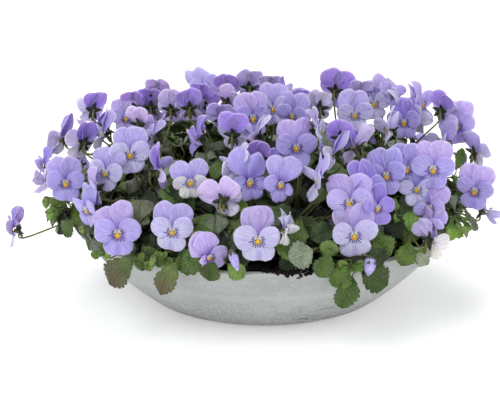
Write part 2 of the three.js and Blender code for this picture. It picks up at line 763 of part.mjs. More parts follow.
// The inside of the bowl from its rim down to its floor, kept clear by gap
const bowlInside = (gap) => [
  new THREE.Vector2(RIM_RADIUS - WALL - gap, BOWL_HEIGHT + gap),
  wallPoint(0.55, WALL + gap),
  new THREE.Vector2(FOOT_RADIUS - 2, WALL + gap),
  new THREE.Vector2(0, WALL + gap),
];

function bowlGeometry(growth = 0) {
  const outside = [0.33, 0.66, 0.99].map((share) => wallPoint(share, -growth));
  const profile = [
    new THREE.Vector2(0, -growth),
    new THREE.Vector2(FOOT_RADIUS + growth, -growth),
    ...outside,
    new THREE.Vector2(RIM_RADIUS - LIP_ROUNDING + growth, BOWL_HEIGHT + growth),
    ...bowlInside(growth),
  ];
  return new THREE.LatheGeometry(profile, BOWL_SIDES).rotateX(Math.PI / 2);
}

// Potting soil fills the bowl to just below its rim and is a little uneven on top
function soilGeometry() {
  const inside = bowlInside(SOIL_GAP).reverse();
  const wall = inside[inside.length - 2];
  const rim = inside[inside.length - 1];
  const level = SOIL_TOP - 3;
  const edge = wall.clone().lerp(rim, (level - wall.y) / (rim.y - wall.y));
  const profile = [
    ...inside.slice(0, -1),
    edge,
    new THREE.Vector2(edge.x - 9, SOIL_TOP - 1.2),
    new THREE.Vector2(96, SOIL_TOP - 1.2),
    new THREE.Vector2(0, SOIL_TOP - 1.2),
  ];
  const lathe = new THREE.LatheGeometry(profile, BOWL_SIDES).rotateX(Math.PI / 2);
  const place = lathe.getAttribute("position");
  for (let i = 0; i < place.count; i++) {
    const [x, y, z] = [place.getX(i), place.getY(i), place.getZ(i)];
    const uneven = Math.sin(x * 0.11 + 1.3) * Math.cos(y * 0.13) + Math.sin(y * 0.21 + x * 0.05);
    if (z > SOIL_TOP - 2 && Math.hypot(x, y) > 1) place.setZ(i, z + 0.5 * uneven);
  }
  return lathe;
}

function addPart(model, name, geometry, colour, roughness) {
  const material = new THREE.MeshStandardMaterial({ color: colour, roughness, metalness: 0, flatShading: true });
  const mesh = new THREE.Mesh(geometry, material);
  mesh.name = name;
  model.add(mesh);
}

const twoDigits = (number) => String(number).padStart(2, "0");

function makePlanter() {
  const planter = new THREE.Group();
  planter.name = "potted_viola_planter";
  const seen = seenBlooms();
  const blooms = [...seen, ...backBlooms(seen)];
  const bunches = gatherBlooms(blooms);
  const plants = growPlants(blooms, solidOf(bowlGeometry(CLEARANCE)));

  addPart(planter, "pot", bowlGeometry(), "#b3b9b2", 0.8);
  const soil = plants.reduce((left, plant) => left.subtract(plant.hole), solidOf(soilGeometry()));
  addPart(planter, "soil", geometryOf(soil), "#2b2622", 0.95);
  plants.forEach((plant, i) => {
    addPart(planter, `foliage_${i + 1}`, geometryOf(withoutScraps(plant.body)), "#5d8148", 0.6);
  });
  bunches.forEach((bunch, i) => {
    const solid = wasm.Manifold.union(bunch.map((bloom) => bloomSolid(bloom)));
    addPart(planter, `blooms_${twoDigits(i + 1)}`, geometryOf(withoutScraps(solid)), "#b9b0e6", 0.6);
  });
  return planter;
}

export default makePlanter();
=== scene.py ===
import math
from collections import namedtuple

import bpy
import numpy as np
from mathutils import Matrix, Vector, noise


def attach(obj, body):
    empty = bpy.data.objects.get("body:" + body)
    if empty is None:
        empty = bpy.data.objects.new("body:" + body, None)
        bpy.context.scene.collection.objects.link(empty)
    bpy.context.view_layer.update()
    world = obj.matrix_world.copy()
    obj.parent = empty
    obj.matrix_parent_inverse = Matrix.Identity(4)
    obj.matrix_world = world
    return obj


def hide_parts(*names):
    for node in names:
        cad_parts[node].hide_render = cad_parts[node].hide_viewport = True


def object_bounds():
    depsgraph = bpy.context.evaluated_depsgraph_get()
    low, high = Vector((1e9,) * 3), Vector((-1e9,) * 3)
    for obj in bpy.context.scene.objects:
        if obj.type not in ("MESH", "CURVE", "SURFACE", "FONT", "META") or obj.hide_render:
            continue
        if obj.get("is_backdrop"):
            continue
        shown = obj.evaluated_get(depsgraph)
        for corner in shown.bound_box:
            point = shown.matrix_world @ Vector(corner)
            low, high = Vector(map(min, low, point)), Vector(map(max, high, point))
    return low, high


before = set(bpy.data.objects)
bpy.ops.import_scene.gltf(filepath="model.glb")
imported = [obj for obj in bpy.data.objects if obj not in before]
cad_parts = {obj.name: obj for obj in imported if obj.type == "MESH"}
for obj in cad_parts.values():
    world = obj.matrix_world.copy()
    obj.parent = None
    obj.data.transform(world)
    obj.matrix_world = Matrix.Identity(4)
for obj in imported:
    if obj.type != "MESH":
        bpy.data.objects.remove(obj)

bl_info = {
    "name": "Potted Viola Planter",
    "version": (1, 0, 0),
    "blender": (4, 5, 0),
    "location": "3D View > Sidebar > Planter",
    "description": "Dresses a planted bowl: cement, potting soil, leaves, flower stalks and viola blooms",
    "category": "Object",
}

CAD_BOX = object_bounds()
MM = 0.001
UP = np.array([0, 0, 1.0])

# The bowl
RIM_RADIUS = 170
BOWL_HEIGHT = 70
WALL_BULGE = 4.2
SOIL_TOP = 63
BOWL_SIDES = 144

# The domes over the bowl that the blooms and the leaves fill, and how far down they go on
CANOPY = ((-8, 0, 70), (205, 178, 100))
FOLIAGE = ((-4, 0, 72), (186, 178, 74))
SKIRT = 150

# The picture: distance in mm, elevation and roll in degrees, focal length and size in pixels, and
# the point that it looks at
VIEW_DISTANCE = 1150
VIEW_ELEVATION = 16
VIEW_ROLL = -0.4
VIEW_FOCAL = 1292
VIEW_SIZE = (500, 400)
VIEW_TARGET = (-13, 0, 80.25)

# Blooms as the picture shows them: the eye's pixel, turn, nod and lean in degrees, size, and the
# tints of the upper and of the lower petals
SEEN_BLOOMS = [
    (65.5, 184, 10, 8, 0, 0.98, "LB"),
    (42, 166, -76, 0, 0, 0.95, "VL"),
    (12, 230, -82, -4, 14, 0.92, "VL"),
    (105, 174, -18, 6, -8, 0.94, "LW"),
    (86, 211, -46, 0, 10, 0.92, "BB"),
    (93, 192, -60, -10, 24, 0.86, "PL"),
    (117.7, 234.6, -6, 8, 3, 1.1, "PB"),
    (90.5, 110, -152, 6, 12, 0.88, "VW"),
    (80, 143, -140, 4, 14, 0.94, "VW"),
    (59, 139, -108, 6, 0, 0.92, "VW"),
    (101, 134, -84, 2, 0, 0.98, "LW"),
    (137, 108, 168, 8, -10, 0.88, "VV"),
    (151.5, 107, 178, 6, 4, 0.96, "VV"),
    (156.5, 93, 190, 20, 0, 0.84, "PL"),
    (173, 109, 168, 8, 2, 0.92, "LL"),
    (190, 108, 184, 4, -4, 0.88, "VL"),
    (204, 101, 158, 12, 10, 0.92, "VV"),
    (205, 88, 30, 30, 4, 0.96, "LL"),
    (227, 90, 178, 10, 0, 0.88, "VL"),
    (249, 87, 184, 8, 0, 0.88, "LL"),
    (229, 103, 150, 0, 30, 0.8, "PP"),
    (234.5, 135, 168, 4, 0, 1.0, "VW"),
    (223, 118, 176, 24, -10, 0.9, "BB"),
    (195, 140, -88, 0, 8, 0.96, "VV"),
    (152, 136, -94, 0, -10, 0.78, "LL"),
    (161, 172, 84, -8, 16, 1.0, "VL"),
    (130, 155.5, 5, 8, 0, 1.0, "LW"),
    (126, 119, 10, 20, 0, 0.86, "PL"),
    (143, 124, 150, 10, 0, 0.84, "PL"),
    (190.5, 183, 2, 0, 4, 0.94, "LW"),
    (172.2, 232, -2, 8, -2, 0.98, "LW"),
    (225, 200, 160, 2, -16, 1.0, "PW"),
    (209.5, 258, 36, -16, 10, 0.88, "PP"),
    (250, 183, 24, 4, -2, 1.06, "BB"),
    (233, 169, -84, 2, 0, 0.86, "WW"),
    (257.8, 241, 4, 8, 0, 1.06, "PW"),
    (280.6, 185.5, 26, 2, -4, 0.94, "LB"),
    (296.4, 148.5, 2, 8, 0, 1.02, "PB"),
    (253, 119, 12, 10, 0, 0.98, "PB"),
    (273, 109.5, -16, 8, 6, 0.94, "LW"),
    (270, 90, 182, 14, 0, 0.84, "LL"),
    (290, 93, 96, 14, 0, 0.88, "VL"),
    (303, 104, 170, 20, 0, 0.84, "VV"),
    (292, 117, -24, -6, -8, 0.88, "LB"),
    (319, 108, 182, 6, 0, 0.84, "WW"),
    (336, 91, 164, 0, 12, 1.02, "VV"),
    (320, 132, 72, 4, -4, 0.94, "LW"),
    (354.8, 116, 4, 6, 2, 0.94, "LW"),
    (341, 137, 172, 12, 0, 0.84, "VV"),
    (374, 104.5, -14, 8, 4, 0.96, "LW"),
    (360, 93, 186, 20, 0, 0.8, "LL"),
    (391, 93, 40, 20, -10, 0.86, "PL"),
    (406, 106, 92, 8, 0, 0.84, "WW"),
    (423, 105, 52, 20, 0, 1.04, "PL"),
    (417, 121, 128, 4, 0, 0.92, "WW"),
    (404, 123, -22, 4, 6, 0.96, "VB"),
    (387, 130, -66, 0, 0, 0.88, "WW"),
    (444, 110, 142, 6, 10, 0.9, "VW"),
    (457, 127, -24, 8, 4, 1.06, "PL"),
    (441, 142, -72, 0, 4, 0.98, "LW"),
    (478, 153, 122, 4, 8, 0.98, "BW"),
    (474.5, 192, -22, 6, -6, 1.0, "PB"),
    (488, 213, 84, -14, 0, 0.62, "BB"),
    (433, 170.5, -20, 8, 4, 1.04, "PB"),
    (407, 170, 6, 6, 0, 0.92, "BB"),
    (386.5, 176.5, -24, 6, 8, 1.0, "BB"),
    (417, 190, -4, 2, -4, 0.86, "BW"),
    (430, 209, -34, -2, 8, 0.94, "PL"),
    (431, 226, -48, -6, 0, 0.86, "PL"),
    (432, 243, 132, -20, 0, 0.92, "LC"),
    (349.5, 204, 0, 12, 0, 1.06, "PL"),
    (354.5, 236.5, 2, 8, 2, 1.06, "PW"),
    (367, 190, 34, 4, 4, 1.0, "VB"),
    (378, 209, 30, 4, 0, 0.84, "VV"),
    (352, 148, -118, 10, 34, 1.04, "LL"),
    (331, 156, -81, 0, 4, 0.9, "LW"),
    (316, 182, -74, 0, 0, 1.02, "LW"),
    (286, 231, 58, -14, 0, 0.7, "WC"),
    (263, 158, 160, 12, 0, 0.84, "VV"),
    (253, 138, -80, 0, 0, 0.84, "WB"),
]

# Blooms round the back: the angle down from the top of the canopy, how many, and size
BACK_RINGS = [(79, 11, 1.0), (61, 8, 0.98), (43, 4, 0.96)]
BACK_START = 14
BACK_END = 166
CLEAR_OF_SEEN = 26
BACK_TINTS = ["PL", "LB", "LW", "VL", "PB", "BB"]

# How far a bloom may be from its solid's eye along its own line, and how far off that line
LONGEST_SLIDE = 48
ON_SLIDE = 0.05

# A petal in its bloom's plane, in mm from the eye's middle: its foot, the direction of its middle in
# degrees, how far out the round blade's centre is and its radius, how much it is widened, its half
# spread in degrees, the height of its foot, then rise, cupping and curl towards the viewer, and how
# deep the notch in its end is
Petal = namedtuple("Petal", "foot_x foot_y middle centre radius widen spread foot_z rise cup curl notch")
PETALS = {
    "upper_left": Petal(-0.8, 1.5, 111, 13.2, 9.8, 1.0, 60, -1.9, -3.2, -1.6, -1.4, 0.02),
    "upper_right": Petal(0.8, 1.5, 69, 13.2, 9.8, 1.0, 60, -1.2, -3.2, -1.4, -1.4, 0.02),
    "side_left": Petal(-0.9, 0.3, 158, 8.4, 8.2, 1.0, 78, 0.2, 3.0, -2.0, -1.4, 0.0),
    "side_right": Petal(0.9, 0.3, 22, 8.4, 8.2, 1.0, 78, 0.2, 3.0, -2.0, -1.4, 0.0),
    "lower": Petal(0, -0.5, -90, 7.3, 8.5, 1.36, 72, -0.6, 2.6, -1.4, -1.4, 0.17),
}

# How wide the notch and the crease at a petal's middle are, as a share of its half width
PETAL_FOLD = 0.13

# Marks of the parts of an eye, which keep the petals' colours off them
OFF_PETALS = dict(face=(0, 40, 0), petal=(0.8, 0, 0), habit=(0, 0, 0))

# Blooms whose petals stand their own way in the picture: by row, for each petal in the order of PETALS,
# how many degrees it is turned, and what its distance and its radius are multiplied by
OWN_PETALS = {
    1: [(0, 0.92, 1.2), (-8, 0.9, 1.15), (0, 1, 1.25), (0, 0.9, 1.2), (0, 1, 1.2)],
    2: [(10, 0.95, 1), (0, 1, 1), (0, 1.1, 1.15), (0, 1, 1.2), (0, 1.25, 1.15)],
    6: [(16, 0.94, 0.98), (9, 1.15, 0.84), (0, 1, 1), (-2, 1, 1.04), (0, 1, 1)],
    8: [(0, 1, 1), (0, 1, 1), (0, 1.1, 1.15), (0, 1.1, 1.15), (0, 1.15, 1.1)],
    9: [(8, 1.15, 1.2), (8, 1.1, 1.2), (6, 1.2, 1.3), (0, 1.15, 1.25), (0, 1.2, 1.2)],
    29: [(14, 0.82, 0.9), (-14, 0.82, 0.9), (22, 0.85, 0.82), (-22, 0.85, 0.82), (0, 1, 0.84)],
    30: [(2, 1.02, 1.02), (0, 0.96, 0.96), (0, 1, 1), (0, 1, 1), (0, 1, 1)],
    31: [(14, 0.98, 1.1), (-22, 0.98, 1.08), (0, 1, 1), (0, 1, 1), (0, 1, 1)],
    32: [(14, 0.86, 1.24), (32, 0.84, 1.3), (10, 0.7, 0.6), (-18, 1, 1.08), (24, 1, 1)],
    33: [(4, 1.12, 1), (-14, 1, 0.9), (28, 0.9, 0.74), (-24, 0.95, 0.62), (6, 1, 0.8)],
    35: [(-11, 1.08, 1.02), (11, 1.06, 1.04), (4, 0.98, 1.08), (0, 1, 1), (0, 1, 1)],
    36: [(-6, 1.08, 0.95), (-14, 1.14, 1.05), (6, 1, 0.84), (-50, 0.8, 0.6), (-4, 1.1, 0.82)],
    45: [(14, 0.94, 1.2), (-8, 0.9, 1.25), (6, 1.1, 1.1), (-6, 1.1, 1.1), (0, 1.2, 1.1)],
    66: [(20, 1, 0.9), (0, 1, 1), (10, 1.15, 0.9), (0, 1, 1), (8, 1.1, 0.95)],
    67: [(-8, 1.35, 1), (-16, 0.95, 0.9), (14, 0.8, 0.7), (-6, 0.9, 1), (0, 1.1, 0.9)],
    68: [(24, 0.8, 0.72), (-30, 0.85, 0.8), (16, 0.9, 0.8), (0, 1, 1), (-6, 1.2, 0.95)],
    69: [(-34, 1.1, 0.66), (-26, 1.1, 0.7), (0, 1, 1), (-20, 1, 0.7), (0, 1, 1)],
    70: [(6, 1, 1.02), (-5, 1.04, 1), (0, 1, 1), (3, 1.1, 0.98), (0, 1, 1)],
    74: [(-4, 1.3, 0.8), (4, 1.1, 0.74), (-50, 0.9, 0.7), (30, 0.9, 0.7), (0, 1.3, 0.85)],
    77: [(-50, 0.7, 1.2), (-30, 0.8, 1.25), (30, 0.8, 0.9), (-40, 0.9, 1.1), (-10, 1.1, 1.1)],
}

# The same for every other bloom
AS_SHAPED = [(0, 1, 1)] * len(PETALS)

# Blooms whose lower petals are whiter than their row says
OWN_TINTS = {29: "LC"}

# The leaves' spread over the dome: the turn from one to the next in degrees, how far down its sides they
# go where 1 is its edge, how far inside it the common and the inner ones lie, the inner ones painted dark
# as shade, how many inner ones there are, and how much fuller the back is
GOLDEN_ANGLE = 137.508
DOWN_THE_SIDES = 1.06
LEAF_DEPTHS = (3, 47)
INNER_DEPTHS = (52, 60)
INNER_LEAVES = 260
BACK_FULLER = 9

# Plants: one in the middle and six round it
PLANT_RING = 98
PLANTS = 7
CROWN_LIFT = 0.3
CORE_RADIUS = 46
CORE_BELOW_LEAVES = 22

# Leaves that show in the picture: the pixels of the blade's foot and tip, its width in mm, how far
# inside the leaves' dome it lies, and its tint
SEEN_LEAVES = [
    (132, 259, 106, 284, 22, 0, "brown"),
    (176, 262, 159, 295, 16, 0, "brown"),
    (142, 252, 142, 271, 12, 4, "young"),
    (214, 262, 208, 281, 15, 0, "rich"),
    (228, 264, 244, 278, 13, 0, "green"),
    (330, 254, 319, 277, 16, 3, "green"),
    (348, 266, 333, 287, 17, 1, "young"),
    (352, 276, 341, 309, 18, 0, "rich"),
    (360, 268, 389, 286, 21, 0, "rich"),
    (409, 242, 402, 266, 16, 0, "young"),
    (413, 248, 429, 266, 13, 0, "grey"),
    (313, 250, 289, 260, 20, 8, "grey"),
    (304, 250, 281, 268, 15, 16, "deep"),
    (336, 228, 311, 238, 16, 10, "deep"),
    (325, 258, 332, 241, 14, 12, "green"),
    (373, 240, 391, 255, 20, 8, "green"),
    (141, 220, 142, 199, 20, 6, "grey"),
    (130, 216, 149, 221, 9, 4, "grey"),
    (197, 168, 206, 155, 15, 14, "grey"),
    (203, 202, 217, 199, 14, 10, "deep"),
    (218, 234, 216, 215, 17, 10, "grey"),
    (52, 206, 66, 208, 12, 0, "young"),
    (60, 209, 49, 223, 14, 0, "green"),
    (75, 221, 62, 234, 15, 0, "green"),
    (411, 232, 411, 211, 14, 10, "young"),
    (403, 240, 386, 212, 15, 12, "deep"),
    (462, 203, 461, 186, 15, 6, "deep"),
    (452, 222, 450, 241, 9, 0, "young"),
    (459, 222, 459, 239, 8, 0, "young"),
    (464, 220, 469, 238, 9, 0, "young"),
    (466, 214, 479, 231, 7, 0, "grey"),
    (456, 170, 463, 148, 10, 8, "green"),
]

# Rosettes of small leaves: pixel, how many, length and width in mm, how far inside the dome, tint
SEEN_ROSETTES = [
    (61, 206, 8, 14, 9, -2, "young"),
    (166, 260, 8, 10, 7, 3, "young"),
    (144, 266, 5, 10, 7, 1, "young"),
    (209, 270, 6, 13, 9.5, -1, "young"),
    (349, 267, 13, 13, 7, -3, "young"),
    (411, 247, 7, 13, 9, 3, "young"),
    (455, 217, 9, 15, 5.5, -1, "young"),
    (398, 213, 6, 14, 9, 8, "young"),
    (104, 254, 4, 12, 10, 0, "young"),
    (240, 176, 5, 10, 6, 10, "green"),
    (168, 132, 6, 13, 8, 10, "grey"),
]

# Gaps in the leaves that the picture shows dark: pixel and radius in pixels, how far back they reach,
# and how far inside the dome the leaves in them lie, which gives their tone the darkest painted shade
GAPS = [(186, 150, 22), (205, 185, 12), (308, 205, 20), (316, 165, 12), (148, 188, 12), (398, 205, 10)]
GAPS_END = 20
GAP_DEPTH = 48

# Stretches of the picture, from pixel to pixel, where no leaf hides the soil at the rim
BARE_SOIL = [(238, 259, 318, 290)]

# Blooms that turn away from the viewer by less than this many degrees show their faces, which leaves
# keep clear of: how far from the eye, and how far behind and in front of it
FACES_VIEWER = 60
BLOOM_REACH = 16.5
KEPT_CLEAR = (-6, 45)

# The soil: how far its top reaches in the bowl, its rings and sides, and the radius and height of its
# underside
SOIL_REACH = 160.6
SOIL_RINGS = 64
SOIL_SIDES = 150
SOIL_FOOT = 118
SOIL_BOTTOM = 22

# The heap of soil in front: how far its middle is to the right, its half width in radians, and from
# where and over how far it rises towards the rim
HEAP_ASIDE = 8
HEAP_SPREAD = 0.36
HEAP_START = 118
HEAP_RISE = 36

# Crumbs on the soil: how many, and from where to where out from the middle
SOIL_CRUMBS = 620
CRUMBS_FROM = 60
CRUMBS_TO = 159

# Soil that lies over the rim in front: how many crumbs, and from where to where from left to right
SPILT_CRUMBS = 230
SPILL = (-4, 48)

# How many points a flower stalk's path has
STALK_STEPS = 21

# Buds in the picture: the pixels of the foot and tip, radius in mm, and tint
SEEN_BUDS = [
    (371, 257, 368, 276, 5.0, "petal"),
    (231, 250, 238, 271, 3.6, "petal"),
    (155, 255, 151, 266, 2.6, "green"),
    (46, 197, 46, 209, 3.6, "green"),
    (80, 226, 85, 234, 2.8, "green"),
    (333, 176, 335, 188, 2.6, "green"),
    (196, 231, 193, 245, 3.0, "dry"),
]

# A bud's radius from its foot to its tip, as shares of its full radius, and its tints on a screen
BUD_OUTLINE = (0.35, 0.72, 0.9, 1.0, 0.98, 0.92, 0.82, 0.64, 0.4, 0.1)
BUD_TONES = dict(petal=(178, 168, 226), green=(118, 138, 62), dry=(160, 104, 56))

# How far the floor reaches and its level, in m
FLOOR_REACH = 9
FLOOR_LEVEL = -0.0004

# The lights: name, place and width in m, and the setting that holds the power
LIGHTS = [
    ("Key light", (-0.9, -1.3, 1.7), 1.3, "key_power"),
    ("Fill light", (1.5, -0.9, 0.9), 1.4, "fill_power"),
    ("Back light", (-0.2, 1.1, 1.7), 1.4, "back_power"),
]

# Where the random draws of each kind of piece start
SEEDS = dict(back=11, soil=5, blooms=83, leaves=19, common=47, inner=97, stalks=61)


def srgb(*screen):
    """A colour given as 0 to 255 on a screen, in Blender's linear values."""
    return tuple(((c / 255 + 0.055) / 1.055) ** 2.4 if c > 10 else c / 255 / 12.92 for c in screen)


def seeded(seed):
    """The same draws between 0 and 1 in the same order every time."""
    state = seed

    def draw():
        nonlocal state
        state = (state * 1664525 + 1013904223) & 0xFFFFFFFF
        return state / 4294967296

    return draw


def unit(v):
    return v / np.linalg.norm(v)


def turned(v, axis, angle):
    """v turned about a unit axis, angle in radians."""
    c, s = math.cos(angle), math.sin(angle)
    return v * c + np.cross(axis, v) * s + axis * np.dot(axis, v) * (1 - c)


def direction(down, around):
    """A unit vector by its angles down from straight up and round from the right, in radians."""
    flat = math.sin(down)
    return np.array([flat * math.cos(around), flat * math.sin(around), math.cos(down)])


def view_axes():
    """Unit vectors back to the viewer, and up the picture before it is rolled."""
    lift = math.radians(VIEW_ELEVATION)
    return np.array([0, -math.cos(lift), math.sin(lift)]), np.array([0, math.sin(lift), math.cos(lift)])


def rolled(right, below, degrees):
    """Steps to the right and down, turned in the picture's plane."""
    c, s = math.cos(math.radians(degrees)), math.sin(math.radians(degrees))
    return right * c - below * s, right * s + below * c


def sight_line(across, down):
    """Where the picture is taken from, and the direction of a pixel's line of sight."""
    back, up = view_axes()
    right, below = rolled(across - VIEW_SIZE[0] / 2, down - VIEW_SIZE[1] / 2, -VIEW_ROLL)
    along = -VIEW_FOCAL * back - below * up + right * np.array([1, 0, 0])
    return np.array(VIEW_TARGET) + back * VIEW_DISTANCE, unit(along)


def pixel_of(point):
    """Where a point shows in the picture."""
    back, up = view_axes()
    offset = point - np.array(VIEW_TARGET) - back * VIEW_DISTANCE
    scale = VIEW_FOCAL / -(offset @ back)
    right, below = rolled(offset[0] * scale, -(offset @ up) * scale, VIEW_ROLL)
    return VIEW_SIZE[0] / 2 + right, VIEW_SIZE[1] / 2 + below


def on_dome(dome, across, down, inset=0):
    """Where a pixel's line of sight meets a dome taken in by inset, or else passes nearest to it."""
    start, along = sight_line(across, down)
    centre, half = np.array(dome, float)

    def meet(half_height):
        size = np.array([half[0] - inset, half[1] - inset, half_height])
        p = (start - centre) / size
        d = along / size
        a, b = d @ d, p @ d
        root = b * b - a * (p @ p - 1)
        return start + along * ((-b - (math.sqrt(root) if root > 0 else 0)) / a)

    above = meet(half[2] - inset)
    return above if above[2] > centre[2] else meet(SKIRT)


def facing(turn, nod, lean):
    """Which way a bloom faces, with the right and up of someone who looks at its face."""
    yaw, pitch = math.radians(turn), math.radians(nod)
    face = np.array([math.sin(yaw) * math.cos(pitch), -math.cos(yaw) * math.cos(pitch), math.sin(pitch)])
    right = turned(np.array([math.cos(yaw), math.sin(yaw), 0]), face, math.radians(lean))
    return face, right, np.cross(face, right)


def level_with(point, across, down, share=1.0):
    """A pixel's place on its line of sight, as far from the viewer as a point, or partly so."""
    start, along = sight_line(across, down)
    dome = on_dome(FOLIAGE, across, down)
    here, there = np.linalg.norm(point - start), np.linalg.norm(dome - start)
    return start + along * (share * here + (1 - share) * there)


def out_of_dome(point):
    """Straight out of the leaves' dome at a point."""
    centre, half = np.array(FOLIAGE, float)
    return unit((point - centre) / half / half)


def foliage_height(x, y):
    (cx, cy, cz), (hx, hy, hz) = FOLIAGE
    return cz + hz * math.sqrt(max(0, 1 - ((x - cx) / hx) ** 2 - ((y - cy) / hy) ** 2))


def crowns():
    """The middle of each plant on the soil, and how high its leaves' core rises."""
    made = []
    for i in range(PLANTS):
        out = PLANT_RING if i else 0
        around = math.radians(60 * i - 30)
        crown = np.array([out * math.cos(around), out * math.sin(around), SOIL_TOP + CROWN_LIFT])
        made.append((crown, foliage_height(crown[0], crown[1]) - CORE_BELOW_LEAVES - crown[2]))
    return made


def nearest_plant(plants, point):
    return min(range(PLANTS), key=lambda i: math.hypot(*(plants[i][0] - point)[:2]))


def inside_core(plant, towards, share):
    """A point inside a plant's core on the side that faces a place, at a share of its height."""
    crown, rise = plant
    flat = np.array([towards[0] - crown[0], towards[1] - crown[1], 0])
    far = np.linalg.norm(flat)
    reach = min(CORE_RADIUS * (0.7 - 0.35 * share), far)
    return crown + flat * (reach / max(far, 1e-6)) + UP * share * rise


def home_blooms():
    """Every bloom before it is set against its solid."""
    blooms = []
    for row, (across, down, turn, nod, lean, size, tint) in enumerate(SEEN_BLOOMS):
        blooms.append(dict(
            eye=on_dome(CANOPY, across, down), slide=sight_line(across, down)[1], turn=turn, nod=nod,
            lean=lean, size=size, tint=OWN_TINTS.get(row, tint), own=OWN_PETALS.get(row, AS_SHAPED),
        ))
    seen = list(blooms)
    draw = seeded(SEEDS["back"])
    centre, half = np.array(CANOPY, float)
    for ring_down, count, ring_size in BACK_RINGS:
        for i in range(count):
            aside, lower, swing, nodding, leaning = (2 * draw() - 1 for _ in range(5))
            step = (BACK_END - BACK_START) / (count - 1)
            around = math.radians(BACK_START + i * step + aside * step * 0.22)
            down = math.radians(ring_down + lower * 5)
            eye = centre + half * direction(down, around)
            if any(np.linalg.norm(bloom["eye"] - eye) < CLEAR_OF_SEEN for bloom in seen):
                continue
            blooms.append(dict(
                eye=eye, slide=np.array([-math.sin(around), math.cos(around), 0]),
                turn=90 + math.degrees(around) + swing * 34, nod=12 + nodding * 14, lean=leaning * 12,
                size=ring_size + nodding * 0.08, tint=BACK_TINTS[len(blooms) % len(BACK_TINTS)],
                own=AS_SHAPED,
            ))
    return blooms


def placed_blooms():
    """Every bloom at its solid's eye, with the name of that solid's node."""
    corners, owners = [], []
    for name in sorted(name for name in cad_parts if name.startswith("blooms_")):
        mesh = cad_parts[name].data
        flat = np.empty(len(mesh.vertices) * 3)
        mesh.vertices.foreach_get("co", flat)
        corners.append(flat.reshape(-1, 3) / MM)
        owners += [name] * len(mesh.vertices)
    corners = np.vstack(corners)
    blooms = home_blooms()
    for bloom in blooms:
        gap = corners - bloom["eye"]
        along = gap @ bloom["slide"]
        off = np.linalg.norm(gap - np.outer(along, bloom["slide"]), axis=1)
        off[np.abs(along) > LONGEST_SLIDE + 1] = np.inf
        best = int(np.argmin(off))
        if off[best] < ON_SLIDE:
            bloom["eye"] = bloom["eye"] + along[best] * bloom["slide"]
        else:
            best = int(np.argmin(np.linalg.norm(gap, axis=1)))
        bloom["node"] = owners[best]
        bloom["face"], bloom["right"], bloom["up"] = facing(bloom["turn"], bloom["nod"], bloom["lean"])
    return blooms


class Shape:
    """Points, faces and per-point marks of one piece, in mm."""

    def __init__(self):
        self.points, self.smooth, self.flat, self.marks = [], [], [], {}
        self.count = 0

    def add(self, points, smooth, flat=(), **marks):
        points = np.asarray(points, float)
        for faces, kept in ((smooth, self.smooth), (flat, self.flat)):
            kept.extend([i + self.count for i in face] for face in faces)
        self.points.append(points)
        for name, values in marks.items():
            values = np.asarray(values, float)
            if values.ndim == 1:
                values = np.tile(values, (len(points), 1))
            self.marks.setdefault(name, []).append(values)
        self.count += len(points)

    def piece(self, name, nodes, slot, material):
        mesh = bpy.data.meshes.new(name)
        mesh.from_pydata((np.vstack(self.points) * MM).tolist(), [], self.smooth + self.flat)
        mesh.polygons.foreach_set("use_smooth", [True] * len(self.smooth) + [False] * len(self.flat))
        for key, values in self.marks.items():
            layer = mesh.attributes.new(key, "FLOAT_VECTOR", "POINT")
            layer.data.foreach_set("vector", np.vstack(values).ravel())
        mesh.update()
        mesh.materials.append(material)
        thing = bpy.data.objects.new(name, mesh)
        bpy.context.scene.collection.objects.link(thing)
        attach(thing, "root")
        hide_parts(*nodes)


def shell_faces(rows, columns):
    """Faces of a thin shell whose front grid comes first and its back grid after, and its rim."""
    back = rows * columns
    smooth = []
    for i in range(rows - 1):
        for j in range(columns - 1):
            a = i * columns + j
            smooth.append((a, a + 1, a + columns + 1, a + columns))
            smooth.append((back + a, back + a + columns, back + a + columns + 1, back + a + 1))
    edge = list(range(columns))
    edge += [i * columns + columns - 1 for i in range(1, rows)]
    edge += [(rows - 1) * columns + j for j in range(columns - 2, -1, -1)]
    edge += [i * columns for i in range(rows - 2, 0, -1)]
    return smooth, [(b, a, back + a, back + b) for a, b in zip(edge, edge[1:] + edge[:1])]


def closed_faces(rings, sides):
    """Faces of a closed form whose points are a first one, rings about an axis and a last one."""
    last = 1 + rings * sides
    faces = []
    for k in range(sides):
        n = (k + 1) % sides
        faces.append((0, 1 + k, 1 + n))
        for i in range(rings - 1):
            a, b = 1 + i * sides + k, 1 + i * sides + n
            faces.append((a, a + sides, b + sides, b))
        faces.append((last - sides + k, last, last - sides + n))
    return faces


def circle(sides):
    """The cosine and sine of even steps round a circle."""
    return [(math.cos(2 * math.pi * k / sides), math.sin(2 * math.pi * k / sides)) for k in range(sides)]


def smooth_path(points, count):
    """A smooth curve through points, as count points."""
    points = [np.asarray(p, float) for p in points]
    ends = [2 * points[0] - points[1]] + points + [2 * points[-1] - points[-2]]
    made = []
    for k in range(count):
        where = k / (count - 1) * (len(points) - 1)
        i = min(int(where), len(points) - 2)
        t = where - i
        a, b, c, d = ends[i:i + 4]
        curve = (2 * a - 5 * b + 4 * c - d) * t * t + (3 * b - a - 3 * c + d) * t ** 3
        made.append(0.5 * (2 * b + (c - a) * t + curve))
    return made


